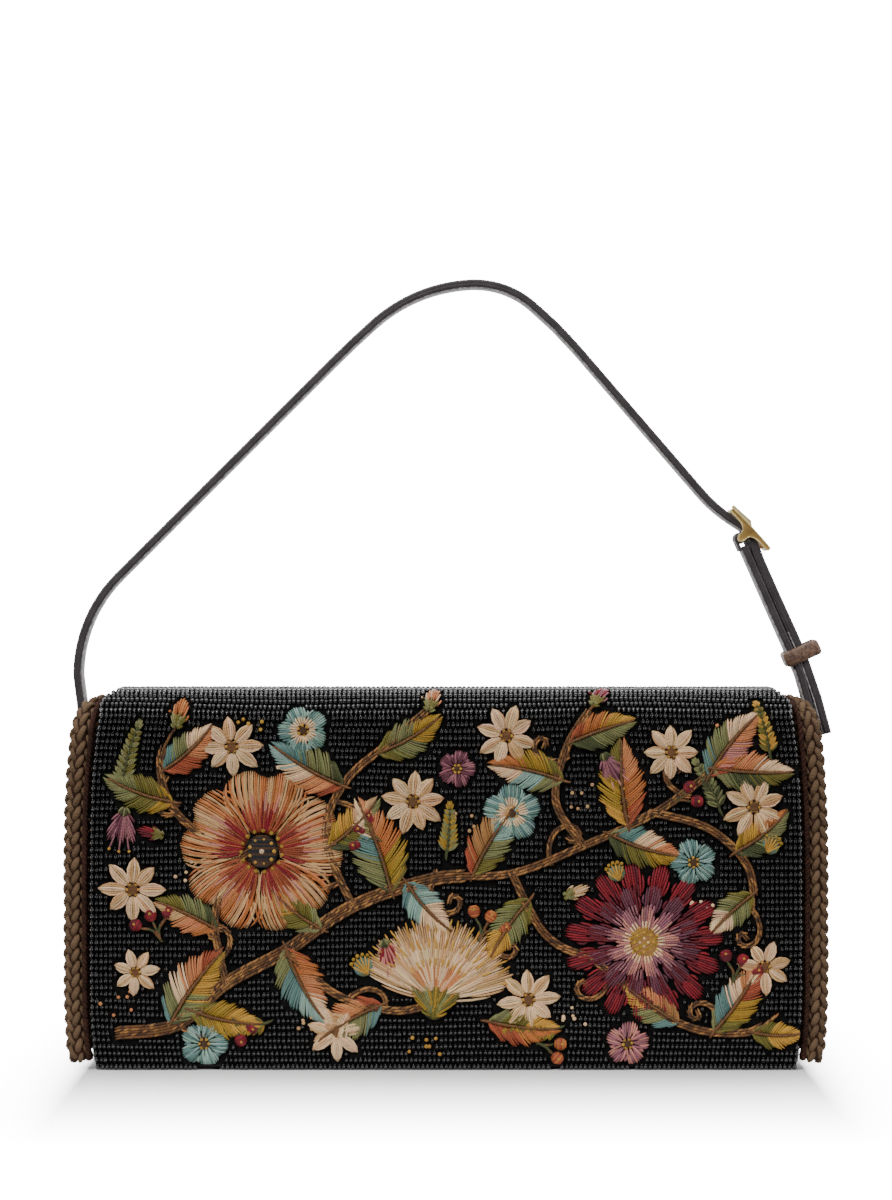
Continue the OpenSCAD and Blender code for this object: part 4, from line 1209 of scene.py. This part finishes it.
def band(name, start, heading, forward, backward, material, width=STRAP_W, thickness=STRAP_T, offset=0.0,
         groove=0.22, back_heading=None):
    """A strap drawn out from its start both ways, with closed ends."""
    piece = strap_section(width, thickness, offset, groove)
    piece.location = (start[0] * MM, 0, start[1] * MM)
    piece.rotation_euler = (0, math.radians(90 - heading), 0)
    apply_place(piece)
    ring = len(piece.data.vertices)
    edit(piece)
    draw_out(np.array(start), heading, forward)
    if backward:
        bpy.ops.object.mode_set(mode="OBJECT")
        for group in (piece.data.vertices, piece.data.edges, piece.data.polygons):
            group.foreach_set("select", [False] * len(group))
        for p in piece.data.vertices[:ring]:
            p.select = True
        for edge in piece.data.edges:
            edge.select = all(i < ring for i in edge.vertices)
        bpy.ops.object.mode_set(mode="EDIT")
        bpy.ops.mesh.select_mode(type="EDGE")
        draw_out(np.array(start), back_heading, backward)
    bpy.ops.mesh.select_all(action="SELECT")
    bpy.ops.mesh.remove_doubles(threshold=1e-6)
    bpy.ops.mesh.select_all(action="DESELECT")
    bpy.ops.mesh.select_non_manifold()
    bpy.ops.mesh.fill_holes(sides=0)
    bpy.ops.mesh.select_all(action="SELECT")
    bpy.ops.mesh.normals_make_consistent(inside=False)
    done(piece, 50)
    return named(name, material)


def mirrored(piece):
    """Turns a piece made for the right side into one for the left."""
    for p in piece.data.vertices:
        p.co.x *= -1
    piece.data.flip_normals()
    return piece


def bent(runs, first_heading, heading):
    """Adds a short bend so that runs leave a swing line without a kink."""
    return [[3.0, first_heading - heading]] + [[runs[0][0] - 3.0, 0]] + runs[1:]


over = strap_runs()
bar_start, bar_heading = runs_end(SWING[0], RISE_H, over)
wrap = [[WRAP_R * math.radians(CHAPE_SLOPE + ARRIVE_H), -CHAPE_SLOPE - ARRIVE_H]]
tail = [[6, -6.5], [6, 6.5], [28, 0.9], [12, -3.9], [27, -7.5]]
tail_start, tail_heading = runs_end(bar_start, bar_heading, wrap)
KEEPER_MID = SWING[1] + 5.3 * direction(180 - CHAPE_SLOPE)
TAIL_JOIN = 38.5

left_tab, left_h = tab_runs(SWING[0] * [-1, 1], STRAP_T)
left_h = 180 - left_h
left_tab = bent([[length, -turn] for length, turn in left_tab], left_h, RISE_H + 180)
right_tab, right_h = tab_runs(SWING[1], 2.8)
right_tab = bent(right_tab, right_h, -CHAPE_SLOPE)
upper_tail = tail[:2] + [[TAIL_JOIN - 12, 0.9 * (TAIL_JOIN - 12) / 28]]
join_p, join_h = runs_end(tail_start, tail_heading, upper_tail)
lower_tail = [[40 - TAIL_JOIN, 0.9 - upper_tail[2][1]]] + tail[3:]
chape = [[53.2 - 3.2, 0]]

leathers, TAIL_HEAD = {}, [[3, -3.25]]
for key, start, heading, forward, backward, back_h, thick in (
        ("shoulder_strap", SWING[0], RISE_H, over + wrap + upper_tail, left_tab, RISE_H + 180, STRAP_T),
        ("strap_tail", join_p, join_h, lower_tail, None, None, STRAP_T),
        ("buckle_strap_leather", SWING[1], 180 - CHAPE_SLOPE, chape, right_tab, -CHAPE_SLOPE, CHAPE_T)):
    inner = 1 if key != "buckle_strap_leather" else -1
    leathers[key] = band(key, start, heading, forward, backward, strap_leather, STRAP_W, thick - 0.45,
                         -0.225 * inner, 0.08, back_h)
    # The pale underside of the shoulder strap stops just past the bar.
    pale = over + wrap + TAIL_HEAD if key == "shoulder_strap" else forward
    key += "_under"
    leathers[key] = band(key, start, heading, pale, backward, under_leather, STRAP_W - 1.0, 0.6,
                         inner * (thick / 2 - 0.3), 0.0, back_h)
# Past the bar up to the join, the tail's underside is dark strap leather instead of pale: painted shade in the
# gap between the tail and the buckle strap.
below_p, below_h = runs_end(tail_start, tail_heading, TAIL_HEAD)
leathers["upper_tail_underside_painted_shade"] = band("upper_tail_underside_painted_shade", below_p, below_h, [[3, -3.25], *upper_tail[1:]], None,
                                    strap_leather, STRAP_W - 0.6, 0.6, STRAP_T / 2 - 0.3, 0.0)

# The buckle strap's leather is folded round the bar, with a slot in its middle for the tongue
LOOP_R, LOOP_T, LOOP_LEG, LOOP_Y, LOOP_W = 1.68, 1.2, 4.2, 3.75, 4.9
loop_start = BAR + LOOP_R * direction(270 - CHAPE_SLOPE)
for key, y in (("buckle_strap_loop_front", -LOOP_Y), ("buckle_strap_loop_back", LOOP_Y)):
    leathers[key] = band(key, loop_start, 180 - CHAPE_SLOPE, [[LOOP_R * math.pi, -180], [LOOP_LEG, 0]],
                         [[LOOP_LEG, 0]], strap_leather, LOOP_W, LOOP_T, 0.0, 0.0, -CHAPE_SLOPE)
    for p in leathers[key].data.vertices:
        p.co.y += y * MM

# Leather panels of the body, cut flat, cambered to the side's curve and given their thickness


def cut_across(way, levels):
    """Cuts the piece in edit mode at levels along an axis, so that it can follow a curve."""
    for level in levels:
        bpy.ops.mesh.select_all(action="SELECT")
        bpy.ops.mesh.bisect(plane_co=[level * MM * w for w in way], plane_no=way)


def cut_levels(z0, z1, count):
    cut_across((0, 0, 1), [z0 + (z1 - z0) * i / count for i in range(1, count)])


def cut_sides(half, count):
    cut_across((1, 0, 0), [(2 * i / count - 1) * half for i in range(1, count)])


def upright(name, width, z0, z1, corner, material, facing="Y", low_corner=0.0):
    """A flat upright panel in the middle of the bag with rounded top corners, in edit mode."""
    turn = (math.pi / 2, 0, 0) if facing == "Y" else (math.pi / 2, 0, math.pi / 2)
    bpy.ops.mesh.primitive_plane_add(size=1, location=(0, 0, (z0 + z1) / 2 * MM), rotation=turn)
    piece = named(name, material)
    piece.scale = (width * MM, (z1 - z0) * MM, 1)
    apply_place(piece)
    for level, r in ((z1, corner), (z0, low_corner)):
        if r:
            choose(piece, "VERT", lambda p: abs(p.co.z - level * MM) < 1e-6)
            bpy.ops.mesh.bevel(offset=r * MM, segments=8, affect="VERTICES")
    edit(piece)
    return piece


def gusset(name, hand):
    """Side panel with a sunk field inside a sewn border."""
    top = SPRING_Z + ARCH_R - CORD_R - 0.1
    piece = upright(name, INNER_D, BASE_T, top, ARCH_R, gusset_leather, "X")
    bpy.ops.mesh.inset(thickness=6.6 * MM)
    bpy.ops.mesh.inset(thickness=0.9 * MM)
    bpy.ops.transform.translate(value=(-0.55 * MM, 0, 0))
    bpy.ops.mesh.inset(thickness=0.5 * MM)
    cut_levels(BASE_T, top, 18)
    bpy.ops.object.mode_set(mode="OBJECT")
    for p in piece.data.vertices:
        z = p.co.z / MM
        p.co.x += (float(half_w(z)) - 0.1) * MM
    if piece.data.polygons[0].normal.x <= 0:
        piece.data.flip_normals()
    apply_modifier(piece, "SOLIDIFY", thickness=(WALL_T - 0.2) * MM, offset=-1)
    ease(piece, 0.4, 2, 50)
    done(piece)
    return piece if hand > 0 else mirrored(piece)


def side_arch(inset, top, corner, count=12):
    """Points up one edge of a gusset, round its top and down the other, drawn in by an inset."""
    y = INNER_D / 2 - inset
    r = max(0.5, corner - inset)
    zs = np.linspace(BASE_T + 4, top - inset - r, 30)
    a = np.radians(np.linspace(180, 0, 2 * count))
    ys = np.concatenate([0 * zs - y, np.where(a > np.pi / 2, -1, 1) * (y - r) + r * np.cos(a), 0 * zs + y])
    z = np.concatenate([zs, top - inset - r + r * np.sin(a), zs[::-1]])
    return np.stack([half_w(z) - 0.1, ys, z], -1)


gusset_top = SPRING_Z + ARCH_R - CORD_R - 0.1
body_pieces = {}
for hand, side in ((1, "right"), (-1, "left")):
    body_pieces["gusset_leather_" + side] = gusset("gusset_leather_" + side, hand)
    arch_line = side_arch(5.6, gusset_top, ARCH_R) * [hand, 1, 1]
    body_pieces["gusset_stitches_" + side] = seam("gusset_stitches_" + side, arch_line,
                                                  np.tile([float(hand), 0, 0], (len(arch_line), 1)), dark_seam)

wall_corner = 14.0
wall = upright("front_wall_cloth", 2 * float(half_w(110)), BASE_T, WALL_TOP, wall_corner, wall_cloth)
cut_levels(BASE_T, WALL_TOP, 18)
bpy.ops.object.mode_set(mode="OBJECT")
for p in wall.data.vertices:
    p.co.x *= float(half_w(min(p.co.z / MM, 116.5)) / half_w(110))
    p.co.y = FRONT_Y * MM
if wall.data.polygons[0].normal.y > 0:
    wall.data.flip_normals()
apply_modifier(wall, "SOLIDIFY", thickness=WALL_T * MM, offset=-1)
bpy.ops.mesh.primitive_cylinder_add(vertices=40, radius=4.0 * MM, depth=12 * MM, rotation=(math.pi / 2, 0, 0),
                                    location=(0, FRONT_Y * MM, 34 * MM))
punch = bpy.context.object
apply_modifier(wall, "BOOLEAN", object=punch, operation="DIFFERENCE", solver="EXACT")
bpy.data.objects.remove(punch)
ease(wall, 0.35, 2, 60)
body_pieces["front_wall_cloth"] = done(wall)

# Binding folded over the mouth, sewn through near its lower edge
BINDING_T, BINDING_H = 0.8, 7.0
binding_half = float(half_w(WALL_TOP - wall_corner)) - wall_corner
binding = box("mouth_binding_leather", (2 * binding_half, WALL_T + 2 * BINDING_T, BINDING_H + BINDING_T),
              (0, FRONT_Y + WALL_T / 2, WALL_TOP + (BINDING_T - BINDING_H) / 2), binding_leather)
choose(binding, "FACE", lambda face: face.normal.z < -0.9)
bpy.ops.mesh.inset(thickness=(BINDING_T - 0.05) * MM)
bpy.ops.mesh.extrude_region_move(TRANSFORM_OT_translate={"value": (0, 0, (BINDING_H - 0.2) * MM)})
ease(binding, 0.35, 3, 60)
body_pieces["mouth_binding_leather"] = done(binding)
for key, y, way in (("out", FRONT_Y - BINDING_T, -1.0), ("in", FRONT_Y + WALL_T + BINDING_T, 1.0)):
    x = np.linspace(2 - binding_half, binding_half - 2, 80)
    line = np.stack([x, 0 * x + y, 0 * x + WALL_TOP - BINDING_H + 1.6], -1)
    key = "binding_stitches_" + key
    body_pieces[key] = seam(key, line, np.tile([0, way, 0], (80, 1)), dark_seam)

# Base: a leather slab with rounded lower edges
base_half = float(half_w(1.2)) - EDGE_GAP
base = box("base_leather_panel", (2 * base_half, BACK_Y - FRONT_Y, BASE_T),
           (0, (FRONT_Y + BACK_Y) / 2, BASE_T / 2), base_leather)
ease(base, 0.7, 3, 60)
body_pieces["base_leather_panel"] = done(base)

# Lining: a cloth box, open above, its walls a little slack, with a row of hem stitches near the mouth
LINING_T = 0.7
lining_half = float(half_w(60)) - WALL_T - 0.1
lining = box("lining_cloth_shell", (2 * lining_half, INNER_D, LINING_TOP - FLOOR_Z),
             (0, 0, (FLOOR_Z + LINING_TOP) / 2), lining_cloth)
choose(lining, "FACE", lambda face: face.normal.z > 0.9)
bpy.ops.mesh.delete(type="FACE")
cut_levels(FLOOR_Z, LINING_TOP, 16)
cut_sides(lining_half, 24)
bpy.ops.object.mode_set(mode="OBJECT")
for p in lining.data.vertices:
    x, y, z = (c / MM for c in p.co)
    t = (z - FLOOR_Z) / (LINING_TOP - FLOOR_Z)
    slack = 0.55 * math.sin(math.pi * t) * (math.sin(x / 9 + 3 * t) * math.sin(x / 23 + 1.3) ** 2)
    p.co.x *= (float(half_w(z)) - WALL_T - 0.1) / lining_half
    if abs(abs(y) - INNER_D / 2) < 0.01:
        p.co.y -= math.copysign(abs(slack) * MM, y)
if lining.data.polygons[0].normal.dot(lining.data.polygons[0].center - Vector((0, 0, 0.06))) < 0:
    lining.data.flip_normals()
apply_modifier(lining, "SOLIDIFY", thickness=LINING_T * MM, offset=-1)
body_pieces["lining_cloth_shell"] = done(lining, 35)

hem_half = float(half_w(LINING_TOP)) - WALL_T
hem_line = np.array([[-1, -1], [1, -1], [1, 1], [-1, 1], [-1, -1]]) * [hem_half - 0.8, INNER_D / 2 - 0.75]
_, hem = evenly(np.column_stack([hem_line, np.full(5, LINING_TOP - 4.0)]), 1.5)
at_end = np.abs(hem[:, :1]) > hem_half - 1.0
inward = np.where(at_end, [1.0, 0, 0], [0, 1.0, 0]) * np.sign(-hem * [1, 1, 0])
body_pieces["lining_stitches"] = seam("lining_stitches", hem, inward, thread_seam, 3.2, 2.2)

# Slip pocket: its cloth swells a little, with a bound top and a sewn hem on three sides
POCKET_W, POCKET_H, POCKET_Z, POCKET_T, POCKET_SWELL = 120.0, 70.0, 30.0, 0.8, 0.9
pocket_back = INNER_D / 2 - LINING_T
pocket = upright("slip_pocket_cloth", POCKET_W, POCKET_Z, POCKET_Z + POCKET_H, 0.0, lining_cloth, "Y", 6.0)
bpy.ops.mesh.inset(thickness=2.6 * MM)
cut_levels(POCKET_Z, POCKET_Z + POCKET_H, 12)
cut_sides(POCKET_W / 2, 14)
bpy.ops.object.mode_set(mode="OBJECT")
def pocket_swell(x, z):
    """How far the pocket's cloth stands out from the wall."""
    x, z = np.maximum(0, 1 - (2 * x / POCKET_W) ** 2), np.maximum(0, z - POCKET_Z) / POCKET_H
    return POCKET_SWELL * x * z ** 1.5


for p in pocket.data.vertices:
    p.co.y = (pocket_back - POCKET_T - float(pocket_swell(p.co.x / MM, p.co.z / MM))) * MM
if pocket.data.polygons[0].normal.y > 0:
    pocket.data.flip_normals()
apply_modifier(pocket, "SOLIDIFY", thickness=(POCKET_T - 0.05) * MM, offset=-1)
body_pieces["slip_pocket_cloth"] = done(pocket)
corner = [(math.cos(a), math.sin(a)) for a in np.radians([180, 210, 240, 270])]
down = [(-POCKET_W / 2 + 1.8, POCKET_Z + POCKET_H - 3)] + [
    (-POCKET_W / 2 + 7.0 + 5.2 * c, POCKET_Z + 7.0 + 5.2 * s) for c, s in corner]
pocket_line = np.array(down + [(-x, z) for x, z in down[::-1]])
pocket_y = pocket_back - POCKET_T - pocket_swell(*pocket_line.T)
pocket_line = np.column_stack([pocket_line[:, 0], pocket_y, pocket_line[:, 1]])
body_pieces["pocket_stitches"] = seam("pocket_stitches", pocket_line,
                                      np.tile([0, -1.0, 0], (len(pocket_line), 1)), thread_seam)
x = np.linspace(-1, 1, 40)
rim = np.column_stack([x * POCKET_W / 2, pocket_back - POCKET_T / 2 - POCKET_SWELL * (1 - x * x),
                       0 * x + POCKET_Z + POCKET_H - 0.6])
body_pieces["pocket_binding"] = tubes("pocket_binding", rim[None], np.tile([0, -1.0, 0], (1, 40, 1)),
                                      np.full((1, 40), 1.0), 10, binding_leather)

# Keeper: a loop of mottled leather, open at both ends
KEEPER_H, KEEPER_T, KEEPER_GAP, KEEPER_CORNER = 6.0, 1.4, 11.2, 1.45
inner_y = STRAP_W + 0.6
keeper = box("keeper_loop", (KEEPER_GAP + 2 * KEEPER_T, inner_y + 2 * KEEPER_T, KEEPER_H), (0, 0, 0),
             keeper_leather)
edit(keeper)
bpy.ops.mesh.select_mode(type="EDGE")
bpy.ops.mesh.bevel(offset=KEEPER_CORNER * MM, segments=4, affect="EDGES")
choose(keeper, "FACE", lambda face: abs(face.normal.z) > 0.9)
bpy.ops.mesh.delete(type="FACE")
apply_modifier(keeper, "SOLIDIFY", thickness=KEEPER_T * MM, offset=-1)
ease(keeper, 0.38, 3, 50)
shift = KEEPER_GAP / 2 - CHAPE_T / 2 - 0.3
side = direction(90 - CHAPE_SLOPE)
keeper.location = ((KEEPER_MID[0] + shift * side[0]) * MM, 0, (KEEPER_MID[1] + shift * side[1]) * MM)
keeper.rotation_euler = (0, math.radians(CHAPE_SLOPE - 90), 0)
done(keeper)

# Buckle: its rails are sunk inside a raised rim, and every edge is eased
STEM_H, STEM_PINCH = 4.4, 0.42
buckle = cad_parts["buckle_frame"].copy()
buckle.data = buckle.data.copy()
bpy.context.scene.collection.objects.link(buckle)
buckle.name = buckle.data.name = "buckle_gold"
buckle.data.materials.clear()
buckle.data.materials.append(brass)
buckle.data.materials.append(sunk_brass)
edit(buckle)
bpy.ops.mesh.remove_doubles(threshold=1e-6)
bpy.ops.mesh.dissolve_limited(angle_limit=math.radians(2))
bpy.ops.object.mode_set(mode="OBJECT")
rail_y = max(abs(p.co.y) for p in buckle.data.vertices)
rail_way = direction(-BUCKLE_SLOPE)
for p in buckle.data.vertices:
    from_bar = np.array([p.co.x, p.co.z]) / MM - BAR
    along, up = from_bar @ rail_way, from_bar @ direction(90 - BUCKLE_SLOPE)
    if abs(p.co.y) > STRAP_W / 2 * MM and 0.5 < up < STEM_H - 0.6:
        waist = STEM_PINCH * math.sin(math.pi * (up - 0.5) / (STEM_H - 1.1)) ** 0.7
        p.co.x -= along * waist * rail_way[0] * MM
        p.co.z -= along * waist * rail_way[1] * MM
# The sunk faces of the rails take the darker gold.
for face in buckle.data.polygons:
    if abs(face.normal.y) > 0.95 and STRAP_W / 2 * MM < abs(face.center.y) < rail_y - 0.1 * MM:
        face.material_index = 1
ease(buckle, 0.34, 3, 35, material=0)
done(buckle, 35)

# Cloth and leather sheets that follow the skin

def sheet_over(name, v0, v1, inset, depth, thickness, material, step=2.5, across=36, ripple=0.0):
    """A sheet laid at a depth under the outside, between two heights, with its thickness inwards."""
    rows = max(2, int((v1 - v0) / step))
    bpy.ops.mesh.primitive_grid_add(x_subdivisions=across, y_subdivisions=rows, size=2)
    piece = named(name, material)
    for p in piece.data.vertices:
        v = v0 + (v1 - v0) * (p.co.y + 1) / 2
        half = float(half_at(min(v, FOOT_V))) - inset
        x = p.co.x * half
        y, z, _, _ = (float(c) for c in skin(v, depth + ripple * math.sin(x / 17 + v / 23)))
        p.co = Vector((x, y, z)) * MM
    edit(piece)
    bpy.ops.mesh.normals_make_consistent(inside=False)
    bpy.ops.object.mode_set(mode="OBJECT")
    middle = piece.data.polygons[len(piece.data.polygons) // 2]
    if middle.normal.dot(Vector((0, middle.center.y, middle.center.z - 0.07))) < 0:
        edit(piece)
        bpy.ops.mesh.flip_normals()
    apply_modifier(piece, "SOLIDIFY", thickness=thickness * MM, offset=-1)
    return done(piece)


flap_cloth = sheet_over("flap_cloth", 0.4, SPLIT_V, 0.3, CLOTH_DEPTH, 0.75, backing_cloth)
back_cloth = sheet_over("back_cloth", SPLIT_V, FOOT_V, 0.3, CLOTH_DEPTH, 1.45, backing_cloth)
flap_lining = sheet_over("flap_lining", 0.6, LIFT_V - 0.4, 0.5, 2.34, 0.62, flap_lining_cloth)

# Straps go where the swing line parts them; what each piece stands in for

seam_offset = STRAP_W / 2 - 1.9


def strap_seam(name, points, headings, side, depth, y):
    """Stitches along one edge of a strap's outer or inner face."""
    normal = np.stack([-np.sin(np.radians(headings)), np.cos(np.radians(headings))], -1) * side
    x, z = (points + normal * depth).T
    way = np.column_stack([normal[:, 0], np.zeros(len(points)), normal[:, 1]])
    return seam(name, np.column_stack([x, np.full(len(points), y), z]), way, dark_seam, lift=0.05)


over_points, over_headings = (found[5:] for found in route_points(SWING[0], RISE_H, over))
strap_stitches = [strap_seam(f"strap_stitches_{k}", over_points, over_headings, 1, STRAP_T / 2 - 0.16, y)
                  for k, y in (("front", -seam_offset), ("back", seam_offset))]

for piece in [bead_pieces["beads_fold"], *embroidery, flap_cloth, flap_lining]:
    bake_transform(piece)
for piece in [bead_pieces["beads_lift"], back_cloth]:
    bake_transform(piece)
for key in ("shoulder_strap", "shoulder_strap_under", "buckle_strap_leather", "buckle_strap_leather_under"):
    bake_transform(leathers[key])
for body, names in (("flap_front", ("beads_front_low", "beads_front_high")), ("flap_top", ("beads_top",)),
                    ("bag", ("beads_back_high", "beads_back_upper", "beads_back_lower", "beads_back_low"))):
    for name in names:
        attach(bead_pieces[name], body)
cords = [*plaits["right"], *plaits["left"], *seam_cords]
for piece in [*cords, *body_pieces.values()]:
    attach(piece, "bag")
for key in ("strap_tail", "strap_tail_under", "upper_tail_underside_painted_shade", "buckle_strap_loop_front",
            "buckle_strap_loop_back"):
    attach(leathers[key], "strap")
for piece in strap_stitches:
    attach(piece, "strap")
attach(keeper, "keeper")
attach(buckle, "strap")


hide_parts("flap_front", "flap_top")
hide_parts("back_panel")
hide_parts("flap_front_lining", "flap_top_lining")
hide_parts("plait_right")
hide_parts("plait_left")
for side in ("right", "left"):
    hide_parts("gusset_" + side)
for key, old in (("front_wall_cloth", "front_wall"), ("mouth_binding_leather", "mouth_binding"),
                 ("base_leather_panel", "base_panel"), ("lining_cloth_shell", "lining"),
                 ("slip_pocket_cloth", "slip_pocket")):
    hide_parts(old)
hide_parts("strap_tab_left", "strap")
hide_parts("strap_tab_right", "buckle_strap")
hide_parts("keeper")
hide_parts("buckle_frame")

for name in ("buckle_tongue", "snap_socket", "snap_stud"):
    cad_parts[name].data.materials.clear()
    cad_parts[name].data.materials.append(brass)
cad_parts["base_board"].data.materials.clear()
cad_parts["base_board"].data.materials.append(board_face)
